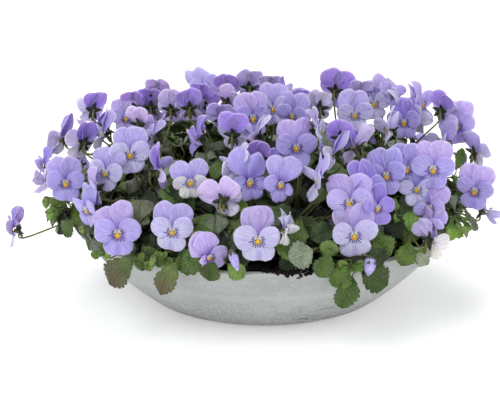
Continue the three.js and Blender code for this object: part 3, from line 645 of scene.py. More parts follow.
def add_tube(shape, path, radii, sides, **marks):
    """A round rod along a path, closed at both ends."""
    path = [np.asarray(p, float) for p in path]
    count = len(path)
    across = np.array([0.31, 0.93, 0.17])
    points = []
    for i, point in enumerate(path):
        along = unit(path[min(i + 1, count - 1)] - path[max(i - 1, 0)])
        across = unit(across - along * (across @ along))
        other = np.cross(along, across)
        points += [point + radii[i] * (across * c + other * s) for c, s in circle(sides)]
    faces = []
    for i in range(count - 1):
        for k in range(sides):
            a, b = i * sides + k, i * sides + (k + 1) % sides
            faces.append((a, b, b + sides, a + sides))
    last = (count - 1) * sides
    ends = [tuple(range(sides - 1, -1, -1)), tuple(last + k for k in range(sides))]
    for key, value in marks.items():
        if np.ndim(value) == 2:
            marks[key] = np.repeat(value, sides, axis=0)
    shape.add(points, faces, ends, **marks)


def add_ball(shape, middle, axes, sides=8, rings=5, **marks):
    """A rounded lump on three half axes given as vectors."""
    a, b, c = (np.asarray(v, float) for v in axes)
    points = [middle + c]
    for i in range(1, rings):
        down = math.pi * i / rings
        for x, y in circle(sides):
            points.append(middle + c * math.cos(down) + math.sin(down) * (a * x + b * y))
    points.append(middle - c)
    shape.add(points, closed_faces(rings - 1, sides), **marks)


# How finely a petal is made: points across it, and from its foot outwards
PETAL_SPOKES = 19
PETAL_RINGS = 8
PETAL_GRID = shell_faces(PETAL_RINGS, PETAL_SPOKES)


def petal_points(petal, draw, thickness, openness, side_on):
    """A petal's shell in its bloom's plane, and for each point its share out and across the petal."""
    middle = math.radians(petal.middle + (9 + 30 * side_on) * (draw() - 0.5))
    centre = petal.centre * (1 + 0.08 * (draw() - 0.5))
    radius = petal.radius * (1 + 0.10 * (draw() - 0.5))
    half = math.radians(petal.spread)
    if radius < centre:
        half = min(half, math.asin(radius / centre))

    # How far the edge is from the foot at each spoke: a circle, made uneven and notched
    across = np.linspace(-1, 1, PETAL_SPOKES)
    angle = half * np.sin(across * math.pi / 2)
    reach = centre * np.cos(angle) + np.sqrt(np.maximum(0, radius ** 2 - (centre * np.sin(angle)) ** 2))
    phase, waves = 6.3 * draw(), 4 + 3.5 * draw()
    uneven = 0.028 * np.sin(waves * 1.3 * across + phase) + 0.012 * np.sin(15 * across + 2 * phase)
    notch = petal.notch * (0.7 + 0.6 * draw())
    reach = reach * (1 + uneven) * (1 - notch * np.exp(-np.abs(across) / PETAL_FOLD))

    out = np.linspace(0.05, 1, PETAL_RINGS)[:, None] ** 0.85
    forward = reach * out * np.cos(angle)
    sideways = reach * out * np.sin(angle) * petal.widen * (1 - 0.4 * side_on * draw())
    far = np.maximum(0, forward) / forward.max()
    x = petal.foot_x + forward * math.cos(middle) - sideways * math.sin(middle)
    y = petal.foot_y + forward * math.sin(middle) + sideways * math.cos(middle)

    # How far the blade stands out of the bloom's plane
    ruffle = (1 + 0.4 * side_on) * (0.9 + 1.2 * draw()) * out ** 2.4 * np.sin(waves * across + phase)
    crease = (0.3 + 3 * petal.notch) * out * np.exp(-((across / PETAL_FOLD) ** 2))
    tilt = 1.8 * (draw() - 0.5)
    lean = (draw() - 0.5) * sideways * (0.24 + 0.5 * side_on)
    openness *= 1 + side_on * (1.7 * draw() - 0.5)
    rise = (petal.rise * openness + tilt) * far ** 1.3
    cup = petal.cup * (1 + 1.5 * side_on * draw()) * out ** 2 * across ** 2
    z = petal.foot_z + rise + cup + petal.curl * (0.4 + draw()) * far ** 5 + ruffle + lean - crease

    front = np.stack([x, y, z], axis=-1).reshape(-1, 3)
    thin = thickness * (0.55 + 0.45 * (1 - out)) + 0 * x
    back = front - UP * thin.reshape(-1, 1)
    where = np.stack([out + 0 * x, across + 0 * x, 0 * x], axis=-1).reshape(-1, 3)
    return np.vstack([front, back]), np.vstack([where, where + [0, 0, 1]])


def add_bloom(shape, bloom, tints, draw, settings):
    """Five petals in their layers, and the tufts, throat and knob of the eye."""
    basis = np.array([bloom["right"], bloom["up"], bloom["face"]])
    away = 0.5 - 0.5 * math.cos(math.radians(bloom["turn"]))
    size = bloom["size"] * settings.bloom_scale * (1 - 0.1 * away)

    def place(points):
        return bloom["eye"] + (np.asarray(points) * np.array([size, size, 1])) @ basis

    def lump(middle, axes, sides, rings, tone):
        axes = [(np.asarray(axis) * size) @ basis for axis in axes]
        add_ball(shape, place([middle])[0], axes, sides, rings, tone=tone, **OFF_PETALS)

    shade = 0.94 + 0.12 * draw()
    side_on = math.sin(math.radians(bloom["turn"])) ** 2
    openness = (0.6 + 0.8 * draw()) * (1 + 0.6 * side_on)
    flush = 0.1 if bloom["tint"][1] in "WC" else 0.3 + 0.3 * draw()
    grown = 50 * draw()
    above, below = (np.array(tints[letter]) * shade for letter in bloom["tint"])
    for (name, petal), (turned_by, further, rounder) in zip(PETALS.items(), bloom["own"]):
        petal = petal._replace(
            middle=petal.middle + turned_by, centre=petal.centre * further, radius=petal.radius * rounder,
        )
        upper = name.startswith("upper")
        tone = above if upper else 0.8 * below + 0.2 * above if name.startswith("side") else below
        points, where = petal_points(petal, draw, settings.petal_thickness / MM, openness, side_on)
        marked = np.array([points[:, 0], points[:, 1], np.full(len(points), 0.0 if upper else 1.0)]).T
        grown += 7
        habit = [flush, float(name == "lower"), grown]
        shape.add(place(points), *PETAL_GRID, tone=tone, face=marked, petal=where, habit=habit)
    for side in (-1, 1):
        along = unit(np.array([side * 2.6, -3.6, -0.2]))
        tuft = (along * 2.5, np.cross(along, (0, 0, 1)) * 0.45, (0, 0, 0.5))
        lump((side * 1.55, 2.4, 0.5), tuft, 6, 4, (0.66, 0.66, 0.58))
    lump((0, 1.3, -0.6), np.diag((1.9, 1.7, 0.7)), 8, 5, (0.56, 0.46, 0.62))
    lump((0, -0.3, -0.1), np.diag((1.6, 1.6, 0.9)), 10, 6, settings.eye_colour[:3])


# How finely leaves are made: rows along the blade, columns across it, and teeth along each side
LEAF_KINDS = {"near": (43, 9, 7), "common": (17, 5, 16 / 3), "inner": (9, 3, 0)}
LEAF_GRIDS = {kind: shell_faces(rows, columns) for kind, (rows, columns, _) in LEAF_KINDS.items()}


def blade_axes(foot, tip, outward):
    """How long a blade is, and its unit vectors along, to the side and out of its face."""
    length = np.linalg.norm(tip - foot)
    along = (tip - foot) / length
    side = unit(np.cross(along, outward))
    return length, along, side, unit(np.cross(side, along))


def add_leaf(shape, foot, tip, outward, width, tone, draw, wear=0.0, kind="common"):
    """A blunt, round-toothed blade, folded and drooping, thicker along its midrib."""
    rows, columns, teeth = LEAF_KINDS[kind]
    near = kind == "near"
    length, along, side, normal = blade_axes(foot, tip, outward)
    step = np.linspace(0, 1, rows)
    share = 1 - (1 - step) ** 1.5
    blunt = 1.15 + 0.3 * draw()
    half = np.sin(np.pi * np.clip(share, 0.015, 0.995) ** blunt) ** 0.62
    scallop = 1 - np.abs(np.sin(np.pi * teeth * step)) ** 0.6
    half = half * np.where(step > 0.14, 1.03 - (0.18 if near else 0.15) * scallop, 1)
    phase, droop = 6.3 * draw(), (0.04 if near else 0.10) + 0.16 * draw()
    fold, wave = 0.2 + 0.38 * draw(), 0.05 + 0.07 * draw()
    twist = 0.5 * (draw() - 0.5)
    u, v = np.meshgrid(share, np.linspace(-1, 1, columns), indexing="ij")
    wide = (half * width / 2)[:, None] * v
    waved = wave * length * np.sin(9 * u + phase + 2.4 * v) * v ** 2
    lift = -droop * length * u ** 2 + np.abs(wide) * fold + waved + twist * wide * u
    front = foot + (u[..., None] * length) * along + wide[..., None] * side + lift[..., None] * normal
    front = front.reshape(-1, 3)
    thin = (0.28 + 0.35 * (1 - np.abs(v))) * (1 if width > 8 else 0.6)
    back = front - normal * thin.reshape(-1, 1)
    where = np.stack([u, v, 0 * u], axis=-1).reshape(-1, 3)
    blade = np.vstack([where, where + [0, 0, 1]])
    shape.add(np.vstack([front, back]), *LEAF_GRIDS[kind], tone=tone, blade=blade, habit=[wear, 0, 0])


SEPAL_WIDTHS = np.array([0.7, 0.95, 1.0, 0.95, 0.82, 0.56, 0.12])
SEPAL_GRID = shell_faces(len(SEPAL_WIDTHS), 3)


def add_sepal(shape, foot, tip, outward, width, tone, draw):
    """A narrow pointed sepal, keeled and a little curled."""
    far, along, side, normal = blade_axes(foot, tip, outward)
    curl = 0.10 + 0.25 * draw()
    front = []
    for u, w in zip(np.linspace(0, 1, len(SEPAL_WIDTHS)), width / 2 * SEPAL_WIDTHS):
        for v in (-1, 0, 1):
            lift = curl * far * u * u - 0.35 * w * abs(v)
            front.append(foot + along * far * u + side * w * v + normal * lift)
    shape.add(np.vstack([front, np.array(front) - normal * 0.35]), *SEPAL_GRID, tone=tone)


def leaf_tone(tints, name, draw, depth):
    """A leaf's green, with painted shade that darkens it the deeper it stands in the plant."""
    # Painted shade: a depth of 1 cuts the tone to 0.14 of its green
    tone = np.array(tints[name]) * (0.62 + 0.98 * draw()) * (1 - 0.86 * depth ** 0.65)
    return tone * np.array([0.92 + 0.16 * draw(), 1, 0.9 + 0.2 * draw()])


def dome_leaves(count, seed, nearest, furthest):
    """Places and directions of leaves spread over the dome, by golden-angle turns from its top."""
    draw = seeded(seed)
    gap_lines = [(sight_line(x, y), radius) for x, y, radius in GAPS]
    centre, half = np.array(FOLIAGE, float)
    taken_in = np.array([1, 1, 0.8])
    for i in range(count):
        down = math.acos(1 - DOWN_THE_SIDES * (i + 0.5) / count)
        around = math.radians(i * GOLDEN_ANGLE + 16 * (draw() - 0.5))
        outward = direction(down, around)
        inset = nearest + (furthest - nearest) * draw()
        if nearest < BACK_FULLER:
            inset -= BACK_FULLER * max(0, min(1, outward[1] * 2))
        place = centre + outward * (half - inset * taken_in)
        for (start, along), radius in gap_lines:
            offset = place - start
            depth = offset @ along
            away = np.linalg.norm(offset - along * depth) * VIEW_FOCAL / depth
            if away < radius and place[1] < GAPS_END:
                inset = max(inset, GAP_DEPTH)
        place = centre + outward * (half - inset * taken_in)
        normal = out_of_dome(place)
        downhill = unit(normal * normal[2] - UP + 1e-3 * outward)
        if normal[2] > 0.97:
            downhill = unit(np.array([outward[0], outward[1], 0.01]))
        heading = turned(downhill, normal, math.radians(150 * (draw() - 0.5)))
        normal = unit(normal + 0.75 * np.array([draw() - 0.5, draw() - 0.5, draw() - 0.3]))
        heading = unit(heading + 0.35 * (draw() - 0.35) * normal - 0.2 * UP * draw())
        yield place, heading, normal, inset, draw


class Nodes:
    """Short ways to put shader nodes in a tree."""

    def __init__(self, tree):
        self.tree = tree

    def feed(self, socket, value):
        if isinstance(value, bpy.types.NodeSocket):
            self.tree.links.new(value, socket)
        elif isinstance(value, (tuple, list)) and len(value) == 3 and socket.type == "RGBA":
            socket.default_value = (*value, 1)
        else:
            socket.default_value = value

    def add(self, kind, settings=None, **inputs):
        node = self.tree.nodes.new(kind)
        for key, value in (settings or {}).items():
            setattr(node, key, value)
        for key, value in inputs.items():
            self.feed(node.inputs[key.replace("_", " ")], value)
        return node

    def group(self, group, **inputs):
        return self.add("ShaderNodeGroup", {"node_tree": group}, **inputs).outputs

    def math(self, operation, *values):
        node = self.add("ShaderNodeMath", {"operation": operation})
        for i, value in enumerate(values):
            self.feed(node.inputs[i], value)
        return node.outputs[0]

    def times(self, value, *others):
        for other in others:
            value = self.math("MULTIPLY", value, other)
        return value

    def plus(self, a, b):
        return self.math("ADD", a, b)

    def minus(self, a, b):
        return self.math("SUBTRACT", a, b)

    def absolute(self, value):
        return self.math("ABSOLUTE", value)

    def from_half(self, value):
        return self.absolute(self.minus(value, 0.5))

    def span(self, value, low, high, to_low=0.0, to_high=1.0):
        """value between low and high as a smooth step between two other values."""
        node = self.add("ShaderNodeMapRange", {"interpolation_type": "SMOOTHSTEP"})
        for i, given in enumerate((value, low, high, to_low, to_high)):
            self.feed(node.inputs[i], given)
        return node.outputs[0]

    def within(self, value, low, high):
        """1 where value is under low, and down to 0 where it is over high."""
        return self.span(value, low, high, 1.0, 0.0)

    def spread(self, cloud, low=0.0, high=1.0):
        """The usual range of a noise as a smooth step between two values."""
        return self.span(cloud, 0.3, 0.7, low, high)

    def blend(self, factor, a, b, mode="MIX"):
        node = self.add("ShaderNodeMix", {"data_type": "RGBA", "blend_type": mode})
        for i, value in ((0, factor), (6, a), (7, b)):
            self.feed(node.inputs[i], value)
        return node.outputs[2]

    def scaled(self, colour, by):
        return self.blend(1.0, colour, by, "MULTIPLY")

    def layers(self, colour, *coats):
        """A colour under coats, each a mask and the coat's own colour."""
        for mask, coat in coats:
            colour = self.blend(mask, colour, coat)
        return colour

    def mark(self, name):
        """A mark that the piece's points carry, as x, y and z."""
        node = self.add("ShaderNodeAttribute", {"attribute_name": name})
        return self.add("ShaderNodeSeparateXYZ", Vector=node.outputs["Vector"]).outputs

    def tone(self):
        """The colour that the piece's points carry."""
        return self.add("ShaderNodeAttribute", {"attribute_name": "tone"}).outputs["Color"]

    def vector(self, x, y, z):
        return self.add("ShaderNodeCombineXYZ", X=x, Y=y, Z=z).outputs[0]

    def place(self):
        return self.add("ShaderNodeTexCoord").outputs["Object"]

    def stretched(self, scale, rotation=(0.0, 0.0, 0.0)):
        node = self.add("ShaderNodeMapping", Vector=self.place(), Rotation=rotation, Scale=scale)
        return node.outputs[0]

    def noise(self, scale, detail=2.0, vector=None, roughness=0.5, distortion=0.0):
        node = self.add("ShaderNodeTexNoise", Scale=scale, Detail=detail, Roughness=roughness)
        self.feed(node.inputs["Distortion"], distortion)
        self.feed(node.inputs["Vector"], vector or self.place())
        return node.outputs["Fac"]

    def patches(self, scale, detail, low, high):
        """Scattered patches, where a noise is over low."""
        return self.span(self.noise(scale, detail), low, high)

    def spots(self, scale, low, high):
        """Small round spots, one in each cell."""
        node = self.add("ShaderNodeTexVoronoi", {"feature": "F1"}, Vector=self.place(), Scale=scale)
        return self.within(node.outputs["Distance"], low, high)

    def surface(self, shader, colour, height, strength, distance):
        """Give a shader its colour, and bumps of a height."""
        self.feed(shader["Base Color"], colour)
        bump = self.add("ShaderNodeBump", Strength=strength, Distance=distance, Height=height)
        self.feed(shader["Normal"], bump.outputs[0])


def node_group(name, inputs, outputs, build):
    """A shader node group with named sockets, built the first time that it is asked for."""
    if name in bpy.data.node_groups:
        return bpy.data.node_groups[name]
    group = bpy.data.node_groups.new(name, "ShaderNodeTree")
    for label, default in inputs.items():
        coloured = isinstance(default, tuple)
        kind = "NodeSocketColor" if coloured else "NodeSocketFloat"
        socket = group.interface.new_socket(label, in_out="INPUT", socket_type=kind)
        socket.default_value = (*default, 1) if coloured else default
    for label in outputs:
        kind = "NodeSocketColor" if label == "Colour" else "NodeSocketFloat"
        group.interface.new_socket(label, in_out="OUTPUT", socket_type=kind)
    nodes = Nodes(group)
    made = build(nodes, nodes.add("NodeGroupInput").outputs)
    ends = nodes.add("NodeGroupOutput").inputs
    for label, value in zip(outputs, made):
        nodes.feed(ends[label], value)
    return group


def variegation_group():
    """Soft cloudy change of a colour, at two scales."""

    def build(nodes, given):
        coarse = nodes.noise(given["Coarse Scale"], 3.0)
        fine = nodes.noise(given["Fine Scale"])
        cloud = nodes.math("MULTIPLY_ADD", fine, 0.4, nodes.times(coarse, 0.6))
        level = nodes.spread(cloud, given["Darker"], given["Lighter"])
        grey = nodes.add("ShaderNodeCombineColor", Red=level, Green=level, Blue=level).outputs[0]
        return nodes.scaled(given["Colour"], grey), cloud

    inputs = {
        "Colour": (0.5, 0.5, 0.5), "Darker": 0.8, "Lighter": 1.15, "Coarse Scale": 60.0, "Fine Scale": 400.0,
    }
    return node_group("Variegation", inputs, ("Colour", "Cloud"), build)


def clouded(nodes, colour, darker, lighter, coarse, fine):
    """A colour with soft clouds over it, and the clouds by themselves."""
    made = nodes.group(
        variegation_group(), Colour=colour, Darker=darker, Lighter=lighter, Coarse_Scale=coarse,
        Fine_Scale=fine,
    )
    return made["Colour"], made["Cloud"]


WHISKER_STEP = math.radians(20)


def face_group():
    """The dark whiskers, white throat and yellow eye on a viola's face, by place in the bloom's plane."""

    def build(nodes, given):
        def far(across, up):
            return nodes.math("SQRT", nodes.plus(nodes.times(across, across), nodes.times(up, up)))

        across, up = given["Across"], given["Up"]
        ahead = nodes.minus(1.0, given["Behind"])
        shown = nodes.times(ahead, given["Marked"])

        # Whiskers run out from a point a little above the eye, each to its own length
        low = nodes.minus(up, 0.5)
        radius = far(across, low)
        angle = nodes.math("DIVIDE", nodes.math("ARCTAN2", low, across), WHISKER_STEP)
        aside = nodes.times(nodes.from_half(nodes.math("FRACT", angle)), radius, WHISKER_STEP)
        steep = nodes.math("DIVIDE", low, nodes.math("MAXIMUM", radius, 0.1))
        number = nodes.noise(0.83, 0.0, nodes.vector(nodes.math("FLOOR", angle), 0.5, 0.5))
        reach = nodes.times(nodes.within(steep, 0.66, 0.86), nodes.spread(number, 5.2, 7.8))
        width = nodes.span(radius, 3.0, 7.0, 0.46, 0.38)
        line = nodes.within(nodes.minus(aside, width), -0.12, 0.12)
        fades = nodes.span(nodes.minus(reach, radius), 0.0, 1.4)
        whisker = nodes.times(line, fades, nodes.span(radius, 2.4, 3.2), shown, 0.95)

        flush = nodes.times(nodes.within(radius, 2.0, 9.5), ahead, given["Flush"])
        throat = nodes.within(far(across, nodes.minus(up, 1.3)), 1.9, 2.8)
        eye = far(across, nodes.times(nodes.plus(up, 0.4), 0.9))
        yellow = nodes.blend(nodes.span(eye, 0.3, 1.6), given["Eye Middle"], given["Eye"])
        colour = nodes.layers(
            given["Colour"],
            (flush, given["Flush Colour"]),
            (nodes.times(throat, shown), given["Throat"]),
            (whisker, given["Whisker"]),
            (nodes.times(nodes.within(eye, 1.9, 2.5), shown), yellow),
        )
        return (colour,)

    inputs = {
        "Colour": (0.5, 0.4, 0.8), "Across": 0.0, "Up": 0.0, "Marked": 1.0, "Behind": 0.0, "Flush": 0.3,
        "Flush Colour": (0.23, 0.12, 0.55), "Whisker": (0.05, 0.01, 0.12), "Throat": (0.74, 0.74, 0.70),
        "Eye": (0.85, 0.42, 0.01), "Eye Middle": (0.80, 0.22, 0.0),
    }
    return node_group("Viola Face", inputs, ("Colour",), build)


def vein_group():
    """Fine lines and soft streaks that fan out over a petal, as masks and as a height."""

    def build(nodes, given):
        out, across = given["Outwards"], given["Across"]
        wobble = nodes.times(nodes.minus(nodes.noise(160.0), 0.5), 0.5, out)
        spread = nodes.times(nodes.plus(across, wobble), given["Veins"])
        line = nodes.within(nodes.from_half(nodes.math("FRACT", spread)), 0.02, 0.22)
        fan = nodes.vector(nodes.times(across, 5.0), out, given["Grown"])
        streak = nodes.spread(nodes.noise(1.4, 3.0, fan, 0.6))
        return nodes.times(line, nodes.within(out, 0.55, 1.0)), nodes.times(line, -1.0), streak

    inputs = {"Outwards": 0.0, "Across": 0.0, "Veins": 9.0, "Grown": 0.0}
    return node_group("Petal Veins", inputs, ("Mask", "Height", "Streak"), build)


def new_material(name, **values):
    """A material whose shader has the given values, with its nodes and the shader's inputs."""
    material = bpy.data.materials.new(name)
    material.use_nodes = True
    shader = material.node_tree.nodes["Principled BSDF"].inputs
    for key, value in values.items():
        shader[key.replace("_", " ")].default_value = value
    return material, Nodes(material.node_tree), shader


def petal_material(settings):
    material, nodes, shader = new_material(
        "Viola petal", Roughness=0.62, Sheen_Weight=0.2, Sheen_Roughness=0.5, Subsurface_Weight=0.5,
        Subsurface_Radius=(1.0, 0.85, 1.1), Subsurface_Scale=0.0015,
    )
    deep_colour = settings.deep_colour[:3]
    out, across, behind = nodes.mark("petal")
    x, y, marked = nodes.mark("face")
    flush, lowest, grown = nodes.mark("habit")
    veins = nodes.group(vein_group(), Outwards=out, Across=across, Veins=6.0, Grown=grown)
    white = nodes.times(nodes.within(out, 0.15, 0.8), marked, 0.26)
    deep = nodes.times(nodes.span(out, 0.12, 0.62, 0.66, 0.0), nodes.minus(1.0, marked))
    deep = nodes.times(deep, nodes.span(behind, 0.0, 1.0, 1.0, 0.4))
    midline = nodes.times(nodes.span(nodes.absolute(across), 0.02, 0.1, 0.34, 0.0), lowest)
    midline = nodes.times(midline, nodes.span(out, 0.3, 0.6))
    streak = nodes.times(veins["Streak"], nodes.span(y, 25.0, 30.0, 0.32, 0.0))
    colour = nodes.layers(
        nodes.tone(),
        (white, (0.76, 0.76, 0.86)),
        (deep, deep_colour),
        (midline, deep_colour),
        (nodes.times(veins["Mask"], 0.18), deep_colour),
        (streak, settings.streak_colour[:3]),
        # Painted highlight: a pale rim along each petal's outer edge
        (nodes.span(out, 0.88, 1.0, 0.0, 0.2), (0.72, 0.66, 0.88)),
    )
    colour, cloud = clouded(nodes, colour, 0.9, 1.08, 70.0, 420.0)
    face = nodes.group(
        face_group(), Colour=colour, Across=x, Up=y, Marked=marked, Behind=behind, Flush=flush,
        Whisker=settings.whisker_colour[:3], Eye=settings.eye_colour[:3],
    )["Colour"]
    # Painted light: the petals' backs are made brighter, standing in for light that shines through them
    colour = nodes.blend(nodes.times(behind, 0.8), face, nodes.scaled(face, (1.45, 1.4, 1.25)))
    height = nodes.math("MULTIPLY_ADD", nodes.noise(900.0), 0.35, veins["Height"])
    nodes.feed(shader["Roughness"], nodes.spread(cloud, 0.54, 0.70))
    nodes.surface(shader, colour, height, 0.5, 0.0005)
    return material


def leaf_material(settings):
    material, nodes, shader = new_material(
        "Viola leaf", Roughness=0.5, Specular_IOR_Level=0.36, Subsurface_Weight=0.08,
        Subsurface_Radius=(0.4, 1.0, 0.2), Subsurface_Scale=0.001,
    )
    along, across, under = nodes.mark("blade")
    wear = nodes.mark("habit")[0]
    aside = nodes.absolute(across)
    colour, cloud = clouded(nodes, nodes.tone(), 0.68, 1.36, 90.0, 520.0)
    ragged = nodes.math("MULTIPLY_ADD", nodes.noise(140.0, 3.0), 0.8, along)
    browned = nodes.times(nodes.span(ragged, 0.55, 1.25), wear, 0.8)
    colour = nodes.blend(browned, colour, settings.worn_colour[:3])
    side_veins = nodes.math("FRACT", nodes.math("MULTIPLY_ADD", along, 6.5, nodes.times(aside, -1.9)))
    side_vein = nodes.times(nodes.within(nodes.from_half(side_veins), 0.03, 0.16), 0.5)
    vein = nodes.math("MAXIMUM", nodes.within(aside, 0.03, 0.12), side_vein)
    colour = nodes.blend(nodes.times(vein, 0.7), colour, nodes.scaled(colour, (1.7, 1.6, 1.3)))
    rim = nodes.span(aside, 0.78, 1.0, 0.0, 0.3)
    colour = nodes.blend(rim, colour, nodes.scaled(colour, (0.75, 0.62, 0.55)))
    colour = nodes.blend(nodes.times(under, 0.3), colour, (0.16, 0.22, 0.11))
    height = nodes.math("MULTIPLY_ADD", nodes.noise(700.0), 0.5, nodes.times(vein, -1.0))
    nodes.feed(shader["Roughness"], nodes.spread(cloud, 0.40, 0.58))
    nodes.surface(shader, colour, height, 0.9, 0.0013)
    return material


def stalk_material():
    material, nodes, shader = new_material("Stalk and sepal", Roughness=0.5)
    colour, cloud = clouded(nodes, nodes.tone(), 0.7, 1.25, 160.0, 900.0)
    grain = nodes.noise(1.0, 2.0, nodes.stretched((900.0, 900.0, 140.0)))
    nodes.feed(shader["Roughness"], nodes.spread(cloud, 0.4, 0.62))
    nodes.surface(shader, colour, grain, 0.3, 0.0003)
    return material


def soil_material():
    material, nodes, shader = new_material("Potting soil", Roughness=0.95, Specular_IOR_Level=0.1)
    colour, _ = clouded(nodes, srgb(31, 27, 26), 0.4, 1.6, 130.0, 900.0)
    fibre = nodes.stretched((900.0, 160.0, 300.0), (0.3, 0.2, 0.7))
    strand = nodes.span(nodes.noise(1.0, 3.0, fibre), 0.63, 0.70)
    speck = nodes.times(nodes.spots(230.0, 0.10, 0.16), nodes.patches(60.0, 1.0, 0.5, 0.6))
    colour = nodes.layers(
        colour, (nodes.times(strand, 0.5), srgb(92, 72, 54)), (speck, srgb(176, 168, 152)),
    )
    height = nodes.plus(nodes.noise(420.0, 5.0, None, 0.7), nodes.times(strand, 0.3))
    nodes.surface(shader, colour, height, 0.9, 0.0016)
    return material


def cement_material(settings):
    material, nodes, shader = new_material("Fibre cement", Roughness=0.85)
    cement, cloud = clouded(nodes, settings.cement_colour[:3], 0.84, 1.12, 26.0, 330.0)
    stain = settings.stain_colour[:3]

    # How high up the wall, with an uneven edge
    above_foot = nodes.add("ShaderNodeSeparateXYZ", Vector=nodes.place()).outputs["Z"]
    uneven = nodes.times(nodes.minus(nodes.noise(30.0), 0.5), 0.10)
    level = nodes.plus(nodes.math("DIVIDE", above_foot, BOWL_HEIGHT * MM), uneven)
    band = nodes.times(nodes.span(level, 0.50, 0.56), nodes.span(level, 0.66, 0.60), 0.3)

    # Small hollows all over, and cracks in patches of the lower wall
    pit = nodes.times(nodes.spots(300.0, 0.10, 0.24), nodes.patches(45.0, 3.0, 0.52, 0.62))
    bent = nodes.noise(1.0, 4.0, nodes.stretched((38.0, 38.0, 90.0)), 0.65, 0.8)
    crack = nodes.times(nodes.within(nodes.from_half(bent), 0.004, 0.018), nodes.span(level, 0.62, 0.3))
    crack = nodes.times(crack, nodes.patches(22.0, 2.0, 0.54, 0.62))
    mark = nodes.math("MAXIMUM", pit, crack)

    # Fine speckles, pale dust, and dark dashes near the foot
    dust = nodes.span(nodes.noise(75.0, 4.0, None, 0.65), 0.58, 0.72, 0.0, 0.35)
    low = nodes.span(level, 0.4, 0.52, 1.0, 0.25)
    speckle = nodes.noise(480.0, 3.0, None, 0.7)
    dark_dots = nodes.times(nodes.span(speckle, 0.56, 0.66), low, 0.3)
    pale_dots = nodes.times(nodes.span(speckle, 0.46, 0.36), low)
    flat = nodes.noise(1.0, 3.0, nodes.stretched((95.0, 95.0, 520.0)), 0.6)
    dashes = nodes.times(nodes.span(flat, 0.57, 0.61), nodes.span(level, 0.3, 0.06), 0.85)
    dashes = nodes.times(dashes, nodes.patches(9.0, 1.0, 0.44, 0.54))

    colour = nodes.layers(
        cement,
        # Darker towards the bottom of the wall
        (nodes.span(level, 0.0, 0.5, 0.42, 0.0), stain),
        (band, (0.52, 0.54, 0.52)),
        # Painted highlight: the top of the wall and the rim are lighter
        (nodes.span(level, 0.93, 1.0, 0.0, 0.4), (0.50, 0.52, 0.50)),
        (nodes.times(mark, 0.62), stain),
        (dust, (0.54, 0.56, 0.54)),
        (dark_dots, stain),
        (pale_dots, (0.53, 0.55, 0.51)),
        (dashes, (0.075, 0.072, 0.06)),
    )
    grain = nodes.noise(520.0, 4.0, None, 0.65)
    height = nodes.math("MULTIPLY_ADD", grain, 0.5, nodes.times(mark, -1.0))
    nodes.feed(shader["Roughness"], nodes.spread(cloud, 0.74, 0.92))
    nodes.surface(shader, colour, height, 0.55, 0.0009)
    return material


def amount(name, description, default, **limits):
    return bpy.props.FloatProperty(
        name=name, description=description, default=default, **{"min": 0.0, **limits},
    )


def length(name, description, default):
    return amount(name, description, default, subtype="DISTANCE", unit="LENGTH")


def power(name, description, default):
    return amount(name, description, default, subtype="POWER", unit="POWER")


def colour(name, description, *value):
    return bpy.props.FloatVectorProperty(
        name=name, description=description, default=(*srgb(*value), 1.0), size=4, min=0.0, max=1.0,
        subtype="COLOR",
    )


class PlanterBowlSettings(bpy.types.PropertyGroup):
    rim_radius: length("Rim radius", "Outer radius of the bowl's rim", 0.170)
    foot_radius: length("Foot radius", "Radius of the flat foot", 0.102)
    wall: length("Wall", "Thickness of the bowl's wall", 0.007)
    lip_radius: length("Lip rounding", "Radius that rounds the rim's edges", 0.0016)
    cement_colour: colour("Cement", "Colour of the dry cement", 172, 175, 173)
    stain_colour: colour("Stain", "Colour of pits, cracks and damp", 122, 124, 119)


class PlanterSoilSettings(bpy.types.PropertyGroup):
    crumb: length("Crumb size", "Size of the largest crumbs on the soil", 0.0042)
    heap: length("Heap", "How high the soil heaps up against the rim in front", 0.0085)


class PlanterBloomSettings(bpy.types.PropertyGroup):
    bloom_scale: amount(
        "Bloom scale", "Size of every bloom against its solid", 1.0, min=0.5, max=1.3, subtype="FACTOR",
    )
    petal_thickness: length("Petal thickness", "Thickness of a petal at its foot", 0.0005)
    pink_colour: colour("Pink", "Petals that open pinkish", 193, 176, 236)
    lavender_colour: colour("Lavender", "Petals of plain lavender", 184, 175, 237)
    blue_colour: colour("Blue", "Petals of bluish lavender", 169, 163, 233)
    violet_colour: colour("Violet", "The deepest petals", 151, 132, 225)
    white_colour: colour("White", "Petals that are nearly white", 204, 203, 240)
    cream_colour: colour("Cream", "Fading petals", 230, 230, 214)
    deep_colour: colour("Petal foot", "Deep colour at the foot of the upper petals", 112, 82, 190)
    streak_colour: colour("Streaks", "Soft darker streaks that fan out over the petals", 152, 130, 216)
    whisker_colour: colour("Whiskers", "Dark lines round the eye", 50, 34, 112)
    eye_colour: colour("Eye", "Yellow of the eye", 232, 184, 32)


class PlanterLeafSettings(bpy.types.PropertyGroup):
    leaf_count: bpy.props.IntProperty(
        name="Leaves", description="Leaves that fill the plants, besides those set by hand", default=1060,
        min=0, max=2000,
    )
    leaf_length: length("Leaf length", "Length of a common blade", 0.025)
    leaf_width: length("Leaf width", "Width of a common blade", 0.0168)
    stalk_radius: length("Stalk radius", "Radius of a flower stalk", 0.00075)
    green_colour: colour("Leaf green", "Common leaves", 92, 118, 60)
    grey_colour: colour("Grey green", "Dull older leaves", 128, 141, 120)
    deep_colour: colour("Deep green", "Dark leaves", 50, 66, 40)
    young_colour: colour("Young green", "Bright young leaves", 108, 138, 62)
    rich_colour: colour("Rich green", "Full-grown leaves at the rim", 72, 98, 42)
    brown_colour: colour("Olive", "Old leaves that hang over the rim", 92, 108, 58)
    worn_colour: colour("Worn leaf", "Purple-brown that old leaves turn from their tips", 92, 78, 62)
    stalk_colour: colour("Stalk", "Flower and leaf stalks", 112, 118, 62)
    sepal_colour: colour("Sepals", "Sepals behind the blooms", 38, 46, 28)


